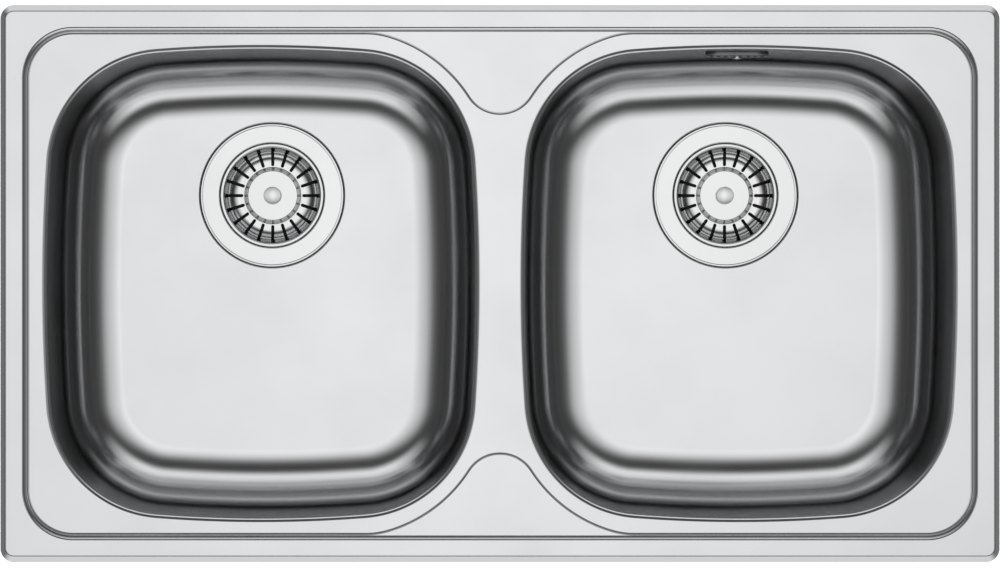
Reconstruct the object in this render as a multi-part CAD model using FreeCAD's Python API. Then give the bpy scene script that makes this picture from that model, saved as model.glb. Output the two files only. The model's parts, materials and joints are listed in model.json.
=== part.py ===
"""Inset kitchen sink with two drawn bowls, basket strainer wastes, an overflow and fixing clips.

Millimetres. The origin is the centre of the worktop cut-out on the worktop's top face, +X runs to the
right, +Y to the back and +Z up. The rim lies on the worktop and the bowls hang through the cut-out.
"""
import FreeCAD
import Part
import math
import os

# Deck: a pressed sheet seen as a border, a double step and the field around the bowls
deck_length = 780.0
deck_width = 435.0
deck_corner_radius = 11.0
rim_overlap = 10.0
sheet = 0.8
border_height = 5.5
edge_height = 2.1
edge_gap = 0.6
edge_slope_sides = 3.9
edge_slope_long = 4.9
edge_crease_radius = 6.3

# Centre of the pressed corners, from the deck's edges, and the radii of the two steps there
field_corner_inset_x = 56.9
field_corner_inset_y = 56.9
first_step_radius = 38.1
first_step_drop = 1.58
first_step_run = 4.2
second_step_radius = 34.9
second_step_drop = 0.72
second_step_run = 1.8

# Edge of the raised islands between the bowls, front and back: arcs that keep their distance from the
# middle and from the long edges whatever their radius, and the inset of the islands' tips
island_arc_radius = 112.0
island_arc_margin = 6.8
island_arc_inset = 20.1
island_blend_radius = 60.0
island_tip_inset = 84.9

# Bowls: side margin and long margin lie between the walls and the deck's edges
bowl_side_margin = 36.0
bowl_long_margin = 34.7
bowl_bridge = 38.4
bowl_depth = 150.0
bowl_side_radius = 1447.0
bowl_end_radius = 1047.0
bowl_corner_radius = 90.0
bowl_draft_degrees = 2.0
bowl_floor_bend = 45.0
mouth_bend = 4.0

# Waste: cup with flange, gaskets and plastic housing below it
waste_shift = 3.1
waste_back_inset = 111.3
waste_recess_radius = 58.5
waste_recess_depth = 3.0
waste_recess_bend = 1.0
waste_recess_foot_bend = 1.2
waste_hole_radius = 45.0
gasket_thickness = 1.7
lower_gasket_thickness = 3.0
flange_radius = 58.1
flange_lip = 0.8
flange_crease_radius = 56.0
flange_crease_run = 0.5
flange_crease_drop = 0.15
flange_crease_bend = 1.0
cup_radius = 42.3
cup_mouth_bend = 1.0
cup_depth = 29.5
cup_bend = 4.0
seat_inner_radius = 26.0
well_radius = 24.4
well_depth = 11.0
well_bend = 1.5
cup_window_inner_radius = 11.8
cup_window_outer_radius = 21.2
cup_window_count = 4
cup_window_bridge = 6.0
waste_flange_radius = 56.0
waste_flange_thickness = 4.0
waste_wall = 3.4
waste_cup_clearance = 1.0
waste_straight = 44.0
waste_cone = 15.0
outlet_thread_radius = 23.9
outlet_bore_radius = 19.6
outlet_length = 20.0
outlet_chamfer = 1.2
hub_radius = 9.0
hub_length = 17.0
hub_web = 4.0
hub_web_count = 3
hub_web_depth = 12.0
hub_web_drop = 4.0
waste_rib_count = 12
waste_rib_width = 2.6
waste_rib_height = 9.0

# Clamp screw, in the middle of the cup, with a socket that the catch bush clicks into
clamp_shank_radius = 4.0
clamp_shank_length = 15.0
clamp_head_radius = 9.0
clamp_head_height = 8.6
clamp_head_chamfer = 0.6
clamp_hexagon_radius = 4.5
clamp_hexagon_sides = 6
clamp_socket_radius = 5.6
clamp_socket_depth = 7.4

# Basket strainer
basket_lip_radius = 41.9
basket_lip_drop = 0.4
basket_throat_radius = 38.6
basket_sheet = 0.7
basket_depth = 16.0
basket_wall_foot_radius = 35.0
basket_wall_bend = 10.0
basket_lip_edge = 0.8
basket_lip_bend = 1.5
basket_riser_outer = 23.0
basket_riser_inner = 20.0
basket_riser_height = 3.0
basket_riser_bend = 1.0
basket_knee_radius = 38.0
basket_knee_depth = 6.0
basket_knee_bend = 12.0
slot_count = 20
slot_width = 2.6
slot_inner_radius = 23.9
slot_outer_radius = 36.3
knob_radius = 7.0
knob_neck_radius = 4.2
knob_neck_slope = 1.4
knob_height = 9.0
knob_cap_height = 5.0
knob_crown_drop = 0.62
knob_crown_bend = 34.0
knob_edge_radius = 0.4
post_radius = 2.6
post_collar_radius = 6.5
seal_radius = 36.8
seal_thickness = 3.4
seal_seat_clearance = 0.3
seal_lip_chamfer = 1.6
retainer_radius = 5.0
retainer_height = 1.6
bush_radius = 5.3
bush_height = 5.4
bush_slit = 1.2
bush_slit_count = 4
bush_slit_depth = 3.8
bush_groove = 0.5
post_tip_radius = 3.4
post_tip_height = 1.2
running_clearance = 0.15
running_fit = 0.08

# Overflow in the back wall of the right bowl
overflow_depth = 34.0
overflow_hole_length = 36.0
overflow_hole_height = 13.0
overflow_cover_length = 50.0
overflow_cover_height = 21.0
overflow_cover_sheet = 1.0
overflow_cover_dome = 2.6
overflow_cover_bend = 1.8
overflow_cover_slot = 2.4
overflow_cover_slot_height = 11.0
overflow_cover_slot_pitch = 5.4
overflow_cover_slots_per_side = 3
overflow_wall_bow = 0.4
overflow_gasket_thickness = 2.0
overflow_gasket_rim = 6.0
overflow_housing_depth = 15.0
overflow_housing_wall = 2.4
overflow_boss_radius = 4.6
overflow_screw_radius = 2.0
overflow_screw_head_radius = 3.6
overflow_screw_head_height = 2.0
overflow_screw_head_bend = 1.0
overflow_screw_slot = 1.0
overflow_screw_length = 16.0
overflow_spigot_setback = 9.5
overflow_spigot_length = 16.0
pipe_radius = 8.0
pipe_wall = 1.6
spigot_wall = 1.4
pipe_bend_radius = 24.0
pipe_entry = 9.0
inlet_spigot_length = 17.0
inlet_drop = 36.5
union_radius = 12.0
union_length = 13.0
union_lip = 2.4
union_flute_count = 12
union_flute_radius = 1.0
union_clearance = 0.1
union_seal_length = 3.0

# Sound pads under the bowl floors, with margins to the bowl's walls and to the waste's recess
pad_side_margin = 72.4
pad_front_margin = 58.8
pad_recess_gap = 13.0
pad_thickness = 2.0
pad_corner_radius = 18.0

# Rim seal
seal_strip_inset = 5.8
seal_strip_width = 4.1

# Fixing clips: a welded bracket with a pin, and an arm that swings out under the worktop
worktop_thickness = 38.0
clips_along_side = 3
bracket_strip = 1.2
bracket_inset = 1.0
bracket_foot = 5.6
bracket_length = 26.0
bracket_drop = 13.0
ear_height = 11.0
ear_reach = 9.0
ear_strip = 1.5
clip_pin_radius = 2.0
clip_pin_head_radius = 3.2
clip_pin_head = 1.0
clip_pin_inset = 11.5
clip_pin_drop = 11.0
arm_width = 15.0
arm_strip = 1.8
arm_eye_wall = 1.8
arm_toe_drop = 10.0
arm_toe_reach = 19.0
arm_bend = 4.0
arm_rib_width = 3.0
arm_rib_height = 1.6
clip_screw_radius = 3.0
clip_screw_outset = 3.5
clip_screw_head_radius = 4.8
clip_screw_head_height = 4.0
clip_screw_head_gap = 5.0
clip_screw_pad_radius = 3.6
clip_screw_pad_height = 2.0
clip_screw_slot = 1.2

overrun = 1.0

# Places worked out from the sizes above
UP = FreeCAD.Vector(0, 0, 1)
ORIGIN = FreeCAD.Vector(0, 0, 0)
SAME_POINT = 1e-6
QUARTER_TURN = 90.0
HALF_TURN = 180.0
FULL_TURN = 360.0

half_length = deck_length / 2
half_width = deck_width / 2
ledge_z = border_height - first_step_drop
field_z = ledge_z - second_step_drop
field_corner_x = half_length - field_corner_inset_x
field_corner_y = half_width - field_corner_inset_y
island_arc_x = island_arc_radius + island_arc_margin
island_arc_y = half_width - island_arc_inset - island_arc_radius
island_tip_y = half_width - island_tip_inset
bowl_half_length = (half_length - bowl_side_margin - bowl_bridge / 2) / 2
bowl_half_width = half_width - bowl_long_margin
bowl_x = bowl_bridge / 2 + bowl_half_length
floor_z = field_z - bowl_depth
draft = math.radians(bowl_draft_degrees)
wall_slope = math.tan(draft)
floor_line_n = -bowl_depth * wall_slope
floor_bend_reach = bowl_floor_bend * math.tan(math.radians(QUARTER_TURN - bowl_draft_degrees) / 2)
mouth_bend_reach = mouth_bend * math.tan(math.radians(QUARTER_TURN - bowl_draft_degrees) / 2)
floor_foot_n = floor_line_n - floor_bend_reach
mouth_foot_n = -mouth_bend_reach * math.sin(draft)
mouth_foot_z = field_z - mouth_bend_reach * math.cos(draft)
waste_x = bowl_x - waste_shift
waste_offset_y = bowl_half_width - waste_back_inset
recess_z = floor_z - waste_recess_depth
flange_z = recess_z + gasket_thickness + sheet
cup_seat_z = flange_z - cup_depth
well_z = cup_seat_z - well_depth
waste_top_z = recess_z - sheet - lower_gasket_thickness
waste_bore_radius = cup_radius + sheet + waste_cup_clearance
waste_outer_radius = waste_bore_radius + waste_wall
waste_straight_z = waste_top_z - waste_straight
outlet_top_z = waste_straight_z - waste_cone
outlet_z = outlet_top_z - outlet_length
hub_top_z = well_z - sheet
inlet_z = waste_top_z - inlet_drop
spigot_radius = pipe_radius + union_clearance + spigot_wall
basket_lip_z = flange_z - basket_lip_drop
basket_floor_z = basket_lip_z - basket_depth
basket_hat_z = basket_floor_z + basket_riser_height
stopper_z = cup_seat_z + seal_seat_clearance
stopper_top_z = stopper_z + seal_thickness
overflow_z = field_z - overflow_depth
overflow_wall_y = bowl_half_width - overflow_depth * wall_slope
cutout_half_length = half_length - rim_overlap
cutout_half_width = half_width - rim_overlap
clip_spacing = deck_length / clips_along_side
pad_half_length = bowl_half_length - pad_side_margin
pad_front_y = pad_front_margin - bowl_half_width
pad_back_y = waste_offset_y - waste_recess_radius - pad_recess_gap


def vec(x, y, z=0.0):
    return FreeCAD.Vector(x, y, z)


def fused(shapes):
    """One solid from shapes that touch, with seams between like faces removed."""
    whole = shapes[0].multiFuse(shapes[1:]) if len(shapes) > 1 else shapes[0]
    return whole.removeSplitter()


def moved(shape, x, y, z=0.0):
    placed = shape.copy()
    placed.translate(vec(x, y, z))
    return placed


def mirrored(shape, normal):
    return shape.mirror(ORIGIN, normal)


def four_ways(shapes):
    """The shapes of the right back quarter, and their mirror images in the other three."""
    right = shapes + [mirrored(shape, vec(0, 1)) for shape in shapes]
    return right + [mirrored(shape, vec(1, 0)) for shape in right]


def cylinder(radius, bottom, top, x=0.0, y=0.0):
    return Part.makeCylinder(radius, top - bottom, vec(x, y, bottom), UP)


def rounded_line(points, bends):
    """Edges through the points in their plane, with an arc of each bend radius at the inner points."""
    edges = []
    start = points[0]
    for before, corner, after, bend in zip(points, points[1:], points[2:], bends):
        back = (before - corner).normalize()
        ahead = (after - corner).normalize()
        half = back.getAngle(ahead) / 2
        if bend <= 0:
            edges.append(Part.makeLine(start, corner))
            start = corner
            continue
        reach = bend / math.tan(half)
        first = corner + back * reach
        last = corner + ahead * reach
        middle = corner + (back + ahead).normalize() * (bend / math.sin(half) - bend)
        if start.distanceToPoint(first) > SAME_POINT:
            edges.append(Part.makeLine(start, first))
        edges.append(Part.Arc(first, middle, last).toShape())
        start = last
    if start.distanceToPoint(points[-1]) > SAME_POINT:
        edges.append(Part.makeLine(start, points[-1]))
    return edges


def sheet_section(line, bends, thickness):
    """Section in the XZ plane of a bent sheet.

    The line holds (x, z) points of the visible side, the metal lies on its left, and the bends are the
    radii of the visible side at the inner points, with zero for a sharp corner.
    """
    points = [vec(x, 0, z) for x, z in line]
    left = []
    for start, end in zip(points, points[1:]):
        along = (end - start).normalize()
        left.append(vec(-along.z, 0, along.x))
    inner = [points[0] + left[0] * thickness]
    inner_bends = []
    for corner, one, two, bend in zip(points[1:], left, left[1:], bends):
        inner.append(corner + (one + two) * (thickness / (1 + one.dot(two))))
        turns_left = one.x * two.z - one.z * two.x > 0
        other_bend = bend - thickness if turns_left else bend + thickness
        inner_bends.append(other_bend if bend > 0 else 0)
    inner.append(points[-1] + left[-1] * thickness)
    edges = rounded_line(points, bends) + rounded_line(inner, inner_bends)
    edges += [Part.makeLine(points[0], inner[0]), Part.makeLine(points[-1], inner[-1])]
    return Part.Face(Part.Wire(Part.__sortEdges__(edges)))


def turned(section, x=0.0, y=0.0):
    """Solid of revolution of a section in the XZ plane about the vertical axis, moved to a place."""
    return moved(section.revolve(ORIGIN, UP, FULL_TURN), x, y)


def polygon_section(line):
    points = [vec(x, 0, z) for x, z in line]
    return Part.Face(Part.makePolygon(points + points[:1]))


class Arc:
    """Round stretch of an outline. A positive sweep bulges outward, a negative one inward."""

    def __init__(self, x, y, radius, start, sweep):
        self.centre = vec(x, y)
        self.radius = radius
        self.start = start
        self.sweep = sweep
        self.side = 1 if sweep > 0 else -1

    def at(self, angle, grow):
        return self.centre + vec(math.cos(angle), math.sin(angle)) * (self.radius + grow * self.side)

    def edge(self, grow, z):
        middle = self.at(self.start + self.sweep / 2, grow)
        ends = [self.at(self.start, grow), self.at(self.start + self.sweep, grow)]
        arc = Part.Arc(ends[0], middle, ends[1]).toShape()
        return moved(arc, 0, 0, z)

    def sweep_section(self, section):
        facing = math.degrees(self.start) + (0 if self.side > 0 else HALF_TURN)
        placed = section.copy()
        placed.rotate(ORIGIN, UP, facing)
        placed.translate(self.at(self.start, 0))
        return placed.revolve(self.centre, UP, math.degrees(self.sweep))


class Line:
    """Straight stretch of an outline, with the outside on its right."""

    def __init__(self, x0, y0, x1, y1):
        self.start = vec(x0, y0)
        self.end = vec(x1, y1)
        self.along = self.end - self.start
        unit = vec(self.along.x, self.along.y).normalize()
        self.out = vec(unit.y, -unit.x)

    def edge(self, grow, z):
        line = Part.makeLine(self.start + self.out * grow, self.end + self.out * grow)
        return moved(line, 0, 0, z)

    def sweep_section(self, section):
        placed = section.copy()
        placed.rotate(ORIGIN, UP, math.degrees(math.atan2(self.out.y, self.out.x)))
        placed.translate(self.start)
        return placed.extrude(self.along)


def outline_wire(quarter, grow, z):
    edges = four_ways([run.edge(grow, z) for run in quarter])
    return Part.Wire(Part.__sortEdges__(edges))


def outline_face(quarter, grow, z):
    return Part.Face(outline_wire(quarter, grow, z))


def outline_slab(quarter, grow, bottom, top):
    return outline_face(quarter, grow, bottom).extrude(vec(0, 0, top - bottom))


def swept(quarter, section):
    return four_ways([run.sweep_section(section) for run in quarter])


def rounded_rectangle(half_x, half_y, radius):
    """Right back quarter of a rectangle with round corners."""
    x = half_x - radius
    y = half_y - radius
    return [Line(half_x, 0, half_x, y), Arc(x, y, radius, 0, math.pi / 2), Line(x, half_y, 0, half_y)]


def step_outline(radius):
    """Rounded rectangle of a pressed step, about the shared corner centres."""
    return rounded_rectangle(field_corner_x + radius, field_corner_y + radius, radius)


def field_outline():
    """Quarter of the field's edge: side, corner, back line, then the S-curve round an island."""
    line_y = field_corner_y + second_step_radius
    side_x = field_corner_x + second_step_radius
    blend_y = line_y - island_blend_radius
    rise = blend_y - island_arc_y
    blend_x = island_arc_x - math.sqrt((island_arc_radius - island_blend_radius) ** 2 - rise ** 2)
    blend_end = math.atan2(rise, blend_x - island_arc_x)
    gap = island_tip_y - island_arc_y
    tip_radius = (island_arc_x ** 2 + gap ** 2 - island_arc_radius ** 2) / (2 * (island_arc_radius - gap))
    tip_y = island_tip_y + tip_radius
    meet = math.atan2(tip_y - island_arc_y, -island_arc_x)
    tip_start = math.atan2(island_arc_y - tip_y, island_arc_x)
    return [
        Line(side_x, 0, side_x, field_corner_y),
        Arc(field_corner_x, field_corner_y, second_step_radius, 0, math.pi / 2),
        Line(field_corner_x, line_y, blend_x, line_y),
        Arc(blend_x, blend_y, island_blend_radius, math.pi / 2, blend_end - math.pi / 2),
        Arc(island_arc_x, island_arc_y, island_arc_radius, blend_end, meet - blend_end),
        Arc(0, tip_y, tip_radius, tip_start, -math.pi / 2 - tip_start),
    ]


def bowl_outline():
    """Quarter of a bowl's wall where its slope meets the field: side arc, corner arc, end arc."""
    side_x = bowl_half_length - bowl_side_radius
    end_y = bowl_half_width - bowl_end_radius
    side_reach = bowl_side_radius - bowl_corner_radius
    end_reach = bowl_end_radius - bowl_corner_radius
    apart = math.hypot(side_x, end_y)
    along = (apart ** 2 + side_reach ** 2 - end_reach ** 2) / (2 * apart)
    across = math.sqrt(side_reach ** 2 - along ** 2)
    unit_x = -side_x / apart
    unit_y = end_y / apart
    corner_x = side_x + unit_x * along - unit_y * across
    corner_y = unit_y * along + unit_x * across
    side_end = math.atan2(corner_y, corner_x - side_x)
    end_start = math.atan2(corner_y - end_y, corner_x)
    return [
        Arc(side_x, 0, bowl_side_radius, 0, side_end),
        Arc(corner_x, corner_y, bowl_corner_radius, side_end, end_start - side_end),
        Arc(0, end_y, bowl_end_radius, end_start, math.pi / 2 - end_start),
    ]


def step_section(run, top, drop):
    """S-shaped section of a pressed step, high on the outside and centred on its outline.

    It is two equal arcs. Each turns by twice the angle of the straight line across the step.
    """
    bend = run / 2 / math.sin(2 * math.atan(drop / run))
    reach = run / 2
    corner = reach - bend * drop / run
    low = top - drop
    line = [(reach, top), (corner, top), (-corner, low), (-reach, low)]
    return sheet_section(line, [bend, bend], sheet)


def make_deck():
    outer = rounded_rectangle(half_length, half_width, deck_corner_radius)
    crease = rounded_rectangle(half_length - edge_slope_sides, half_width - edge_slope_long,
                               edge_crease_radius)
    edge_inner_radius = deck_corner_radius - sheet
    inner = rounded_rectangle(half_length - sheet, half_width - sheet, edge_inner_radius)
    crease_shift = sheet / 2
    crease_inner = rounded_rectangle(half_length - edge_slope_sides - crease_shift,
                                     half_width - edge_slope_long - crease_shift,
                                     edge_crease_radius - crease_shift)
    first = step_outline(first_step_radius)
    field = field_outline()
    bowl = bowl_outline()

    # The turned edge: a short upright band and the slope up to the border
    rim = fused([
        outline_slab(outer, 0, edge_gap, edge_height),
        Part.makeLoft([outline_wire(outer, 0, edge_height),
                       outline_wire(crease, 0, border_height)], True, True),
    ])
    inside_low = edge_height - crease_shift
    hollow = fused([
        outline_slab(inner, 0, edge_gap - overrun, inside_low),
        Part.makeLoft([outline_wire(inner, 0, inside_low),
                       outline_wire(crease_inner, 0, border_height - sheet)], True, True),
    ])
    border_hole = outline_slab(first, first_step_run / 2, edge_gap - overrun, border_height + overrun)
    rim = rim.cut(hollow).cut(border_hole)

    ledge = outline_slab(first, -first_step_run / 2, ledge_z - sheet, ledge_z)
    ledge = ledge.cut(outline_slab(field, second_step_run / 2, field_z - sheet, border_height))
    plate = outline_slab(field, -second_step_run / 2, field_z - sheet, field_z)
    mouth_slab = outline_slab(bowl, mouth_bend_reach, field_z - sheet - overrun, field_z + overrun)
    lip_line = [(mouth_bend_reach, field_z), (0, field_z), (mouth_foot_n, mouth_foot_z)]
    lip = swept(bowl, sheet_section(lip_line, [mouth_bend], sheet))
    parts = [rim, ledge]
    parts += swept(first, step_section(first_step_run, border_height, first_step_drop))
    parts += swept(field, step_section(second_step_run, ledge_z, second_step_drop))
    for x in (-bowl_x, bowl_x):
        plate = plate.cut(moved(mouth_slab, x, 0))
        parts += [moved(shape, x, 0) for shape in lip]
    return fused(parts + [plate])


def waste_recess_section():
    """Ring of the bowl floor that steps down to the waste hole, in the waste's own frame."""
    outside = waste_recess_radius + waste_recess_bend * 2
    line = [(outside, floor_z), (waste_recess_radius, floor_z),
            (waste_recess_radius, recess_z), (waste_hole_radius, recess_z)]
    return sheet_section(line, [waste_recess_bend, waste_recess_foot_bend], sheet)


def make_bowl(side):
    """One drawn bowl: side is -1 for the left one and 1 for the right one."""
    outline = bowl_outline()
    line = [(mouth_foot_n, mouth_foot_z), (floor_line_n, floor_z), (floor_foot_n, floor_z)]
    wall = swept(outline, sheet_section(line, [bowl_floor_bend], sheet))
    base = outline_slab(outline, floor_foot_n, floor_z - sheet, floor_z)
    waste_local_x = side * (waste_x - bowl_x)
    outside = waste_recess_radius + waste_recess_bend * 2
    base = base.cut(cylinder(outside, floor_z - sheet - overrun, floor_z + overrun,
                             waste_local_x, waste_offset_y))
    recess = turned(waste_recess_section(), waste_local_x, waste_offset_y)
    bowl = fused(wall + [base, recess])
    if side > 0:
        bowl = bowl.cut(overflow_hole())
    return moved(bowl, side * bowl_x, 0)


def capsule(length, height, depth):
    """Solid with round ends, in the XZ plane, centred on the origin and reaching depth to the back."""
    straight = (length - height) / 2
    radius = height / 2
    edges = [
        Part.makeLine(vec(-straight, 0, radius), vec(straight, 0, radius)),
        Part.Arc(vec(straight, 0, radius), vec(length / 2, 0, 0), vec(straight, 0, -radius)).toShape(),
        Part.makeLine(vec(straight, 0, -radius), vec(-straight, 0, -radius)),
        Part.Arc(vec(-straight, 0, -radius), vec(-length / 2, 0, 0), vec(-straight, 0, radius)).toShape(),
    ]
    return Part.Face(Part.Wire(edges)).extrude(vec(0, depth, 0))


def overflow_frame(shape):
    """Lean a shape drawn at the origin, facing the front, onto the bowl's back wall."""
    placed = shape.copy()
    placed.rotate(ORIGIN, vec(1, 0), -bowl_draft_degrees)
    placed.translate(vec(0, overflow_wall_y, overflow_z))
    return placed


def overflow_hole():
    hole = capsule(overflow_hole_length, overflow_hole_height, 2 * (sheet + overrun))
    return overflow_frame(moved(hole, 0, -sheet - overrun))


def gasket_ring(inner, outer, bottom, thickness):
    return cylinder(outer, bottom, bottom + thickness).cut(
        cylinder(inner, bottom - overrun, bottom + thickness + overrun))


def make_cup():
    """Strainer cup: flange with a turned edge, wall, seat for the stopper and a well with windows."""
    low_flange_z = flange_z - flange_crease_drop
    line = [
        (flange_radius, low_flange_z - flange_lip - sheet),
        (flange_radius, low_flange_z),
        (flange_crease_radius + flange_crease_run, low_flange_z),
        (flange_crease_radius, flange_z),
        (cup_radius, flange_z),
        (cup_radius, cup_seat_z),
        (seat_inner_radius, cup_seat_z),
        (well_radius, cup_seat_z - (seat_inner_radius - well_radius)),
        (well_radius, well_z),
        (clamp_shank_radius + running_clearance, well_z),
    ]
    bends = [flange_lip, flange_crease_bend, flange_crease_bend, cup_mouth_bend, cup_bend, 0, 0, well_bend]
    cup = turned(sheet_section(line, bends, sheet))
    ring = gasket_ring(cup_window_inner_radius, cup_window_outer_radius, well_z - sheet - overrun,
                       sheet + 2 * overrun)
    for step in range(cup_window_count):
        bridge = Part.makeBox(cup_window_outer_radius + overrun, cup_window_bridge, sheet + 4 * overrun,
                              vec(0, -cup_window_bridge / 2, well_z - sheet - 2 * overrun))
        bridge.rotate(ORIGIN, UP, FULL_TURN * (step + 1 / 2) / cup_window_count)
        ring = ring.cut(bridge)
    return cup.cut(ring)


def pipe_along_y(radius, start, length):
    """Cylinder along +Y from a start distance in front of the origin."""
    return Part.makeCylinder(radius, length, vec(0, start, 0), vec(0, 1))


def make_waste_body():
    """Plastic housing below the bowl, in the waste's frame, with the overflow inlet to the back."""
    outer = polygon_section([
        (0, waste_top_z), (waste_flange_radius, waste_top_z),
        (waste_flange_radius, waste_top_z - waste_flange_thickness),
        (waste_outer_radius, waste_top_z - waste_flange_thickness),
        (waste_outer_radius, waste_straight_z), (outlet_thread_radius, outlet_top_z),
        (outlet_thread_radius, outlet_z + outlet_chamfer),
        (outlet_thread_radius - outlet_chamfer, outlet_z), (0, outlet_z),
    ])
    bore = polygon_section([
        (0, waste_top_z + overrun), (waste_bore_radius, waste_top_z + overrun),
        (waste_bore_radius, waste_straight_z), (outlet_bore_radius, outlet_top_z),
        (outlet_bore_radius, outlet_z - overrun), (0, outlet_z - overrun),
    ])
    spigot = moved(pipe_along_y(spigot_radius, waste_bore_radius,
                                waste_wall + inlet_spigot_length), 0, 0, inlet_z)
    ribs = []
    rib_bottom = waste_top_z - waste_flange_thickness - waste_rib_height
    rib = Part.Face(Part.makePolygon([
        vec(waste_bore_radius + waste_wall / 2, 0, waste_top_z - waste_flange_thickness),
        vec(waste_flange_radius, 0, waste_top_z - waste_flange_thickness),
        vec(waste_bore_radius + waste_wall / 2, 0, rib_bottom),
        vec(waste_bore_radius + waste_wall / 2, 0, waste_top_z - waste_flange_thickness),
    ])).extrude(vec(0, waste_rib_width, 0))
    rib.translate(vec(0, -waste_rib_width / 2, 0))
    for step in range(waste_rib_count):
        copy = rib.copy()
        copy.rotate(ORIGIN, UP, FULL_TURN * (step + 1 / 2) / waste_rib_count)
        ribs.append(copy)
    housing = turned(outer).fuse([spigot] + ribs).cut(turned(bore))
    socket_start = waste_outer_radius + inlet_spigot_length - pipe_entry
    inlet_bore = pipe_along_y(pipe_radius - pipe_wall, waste_bore_radius - waste_wall,
                              2 * waste_wall + inlet_spigot_length)
    socket = pipe_along_y(pipe_radius + union_clearance, socket_start, pipe_entry + overrun)
    housing = housing.cut(moved(inlet_bore.fuse(socket), 0, 0, inlet_z))

    # The hub that takes the clamp screw stands on three webs
    hub = cylinder(hub_radius, hub_top_z - hub_length, hub_top_z)
    web_top = hub_top_z - hub_web_drop
    for step in range(hub_web_count):
        web = Part.makeBox(waste_bore_radius + waste_wall / 2, hub_web, hub_web_depth,
                           vec(0, -hub_web / 2, web_top - hub_web_depth))
        web.rotate(ORIGIN, UP, -QUARTER_TURN + FULL_TURN * step / hub_web_count)
        hub = hub.fuse(web)
    shank_hole = cylinder(clamp_shank_radius + union_clearance,
                          hub_top_z - clamp_shank_length, hub_top_z + overrun)
    envelope = turned(outer)
    return housing.fuse(hub.common(envelope)).cut(shank_hole).removeSplitter()


def make_clamp_screw():
    head = cylinder(clamp_head_radius, well_z, well_z + clamp_head_height)
    head = head.makeChamfer(clamp_head_chamfer, [head.Edges[0]])
    socket_z = well_z + clamp_head_height - clamp_socket_depth
    socket = cylinder(clamp_socket_radius, socket_z, well_z + clamp_head_height + overrun)
    third = clamp_socket_depth / 3
    groove = gasket_ring(clamp_socket_radius - overrun, clamp_socket_radius + bush_groove,
                         socket_z + third, third)
    corners = []
    for step in range(clamp_hexagon_sides + 1):
        angle = 2 * math.pi * step / clamp_hexagon_sides
        corners.append(vec(clamp_hexagon_radius * math.cos(angle), clamp_hexagon_radius * math.sin(angle),
                           socket_z + overrun))
    hexagon = Part.Face(Part.makePolygon(corners)).extrude(vec(0, 0, -clamp_shank_radius - overrun))
    shank = cylinder(clamp_shank_radius, well_z - clamp_shank_length + sheet, well_z)
    return fused([head, shank]).cut(socket).cut(groove).cut(hexagon)


def make_basket():
    """Strainer basket with its lip, curved wall, slotted floor and raised middle."""
    line = [
        (basket_lip_radius, basket_lip_z - basket_lip_edge - basket_sheet),
        (basket_lip_radius, basket_lip_z),
        (basket_throat_radius, basket_lip_z),
        (basket_knee_radius, basket_lip_z - basket_knee_depth),
        (basket_wall_foot_radius, basket_floor_z),
        (basket_riser_outer, basket_floor_z),
        (basket_riser_inner, basket_hat_z),
        (post_radius, basket_hat_z),
    ]
    bends = [basket_lip_edge, basket_lip_bend, basket_knee_bend, basket_wall_bend, basket_riser_bend,
             basket_riser_bend]
    bowl = turned(sheet_section(line, bends, basket_sheet))
    slot = Part.makeBox(slot_outer_radius - slot_inner_radius - slot_width, slot_width,
                        basket_depth + 2 * overrun,
                        vec(slot_inner_radius + slot_width / 2, -slot_width / 2,
                            basket_floor_z - basket_sheet - overrun))
    low = basket_floor_z - basket_sheet - overrun
    high = basket_lip_z + overrun
    for radius in (slot_inner_radius + slot_width / 2, slot_outer_radius - slot_width / 2):
        slot = slot.fuse(cylinder(slot_width / 2, low, high, radius))
    slots = []
    for step in range(slot_count):
        copy = slot.copy()
        copy.rotate(ORIGIN, UP, FULL_TURN * step / slot_count)
        slots.append(copy)
    return bowl.cut(slots)


def make_knob():
    """Turned knob with a waist and a domed cap."""
    base = basket_hat_z
    top = base + knob_height
    cap_low = top - knob_cap_height
    crown = rounded_line([vec(0, 0, top), vec(knob_radius / 2, 0, top),
                          vec(knob_radius, 0, top - knob_crown_drop), vec(knob_radius, 0, cap_low)],
                         [knob_crown_bend, knob_edge_radius])
    waist = rounded_line([vec(knob_radius, 0, cap_low), vec(knob_neck_radius, 0, cap_low - knob_neck_slope),
                          vec(knob_neck_radius, 0, base), vec(0, 0, base)], [0, 0])
    axis = Part.makeLine(vec(0, 0, base), vec(0, 0, top))
    knob = turned(Part.Face(Part.Wire(Part.__sortEdges__(crown + waist + [axis]))))
    return knob.cut(cylinder(post_radius, base - overrun, base + knob_cap_height))


def make_post():
    """Stem under the basket: threaded top in the knob, collar, shaft and the tip in the bush."""
    tip_z = post_tip_z()
    return fused([
        cylinder(post_radius, tip_z, basket_hat_z + knob_cap_height - running_clearance),
        cylinder(post_collar_radius, stopper_top_z, basket_hat_z - basket_sheet),
        cylinder(post_tip_radius, tip_z - post_tip_height, tip_z),
    ])


def bush_bottom_z():
    socket_z = well_z + clamp_head_height - clamp_socket_depth
    return socket_z + post_tip_height + 2 * running_clearance


def post_tip_z():
    return bush_bottom_z() - running_clearance


def make_bush():
    bottom = bush_bottom_z()
    bush = gasket_ring(post_radius + running_fit, bush_radius, bottom, bush_height)
    for step in range(bush_slit_count // 2):
        slit = Part.makeBox(4 * bush_radius, bush_slit, bush_slit_depth + overrun,
                            vec(-2 * bush_radius, -bush_slit / 2, bottom - overrun))
        slit.rotate(ORIGIN, UP, HALF_TURN * step / (bush_slit_count // 2) + QUARTER_TURN / 2)
        bush = bush.cut(slit)
    return bush


def make_stopper():
    section = polygon_section([
        (post_radius, stopper_top_z), (seal_radius - seal_lip_chamfer, stopper_top_z),
        (seal_radius, stopper_top_z - seal_lip_chamfer), (seal_radius, stopper_z),
        (post_radius, stopper_z),
    ])
    return turned(section)


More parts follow.
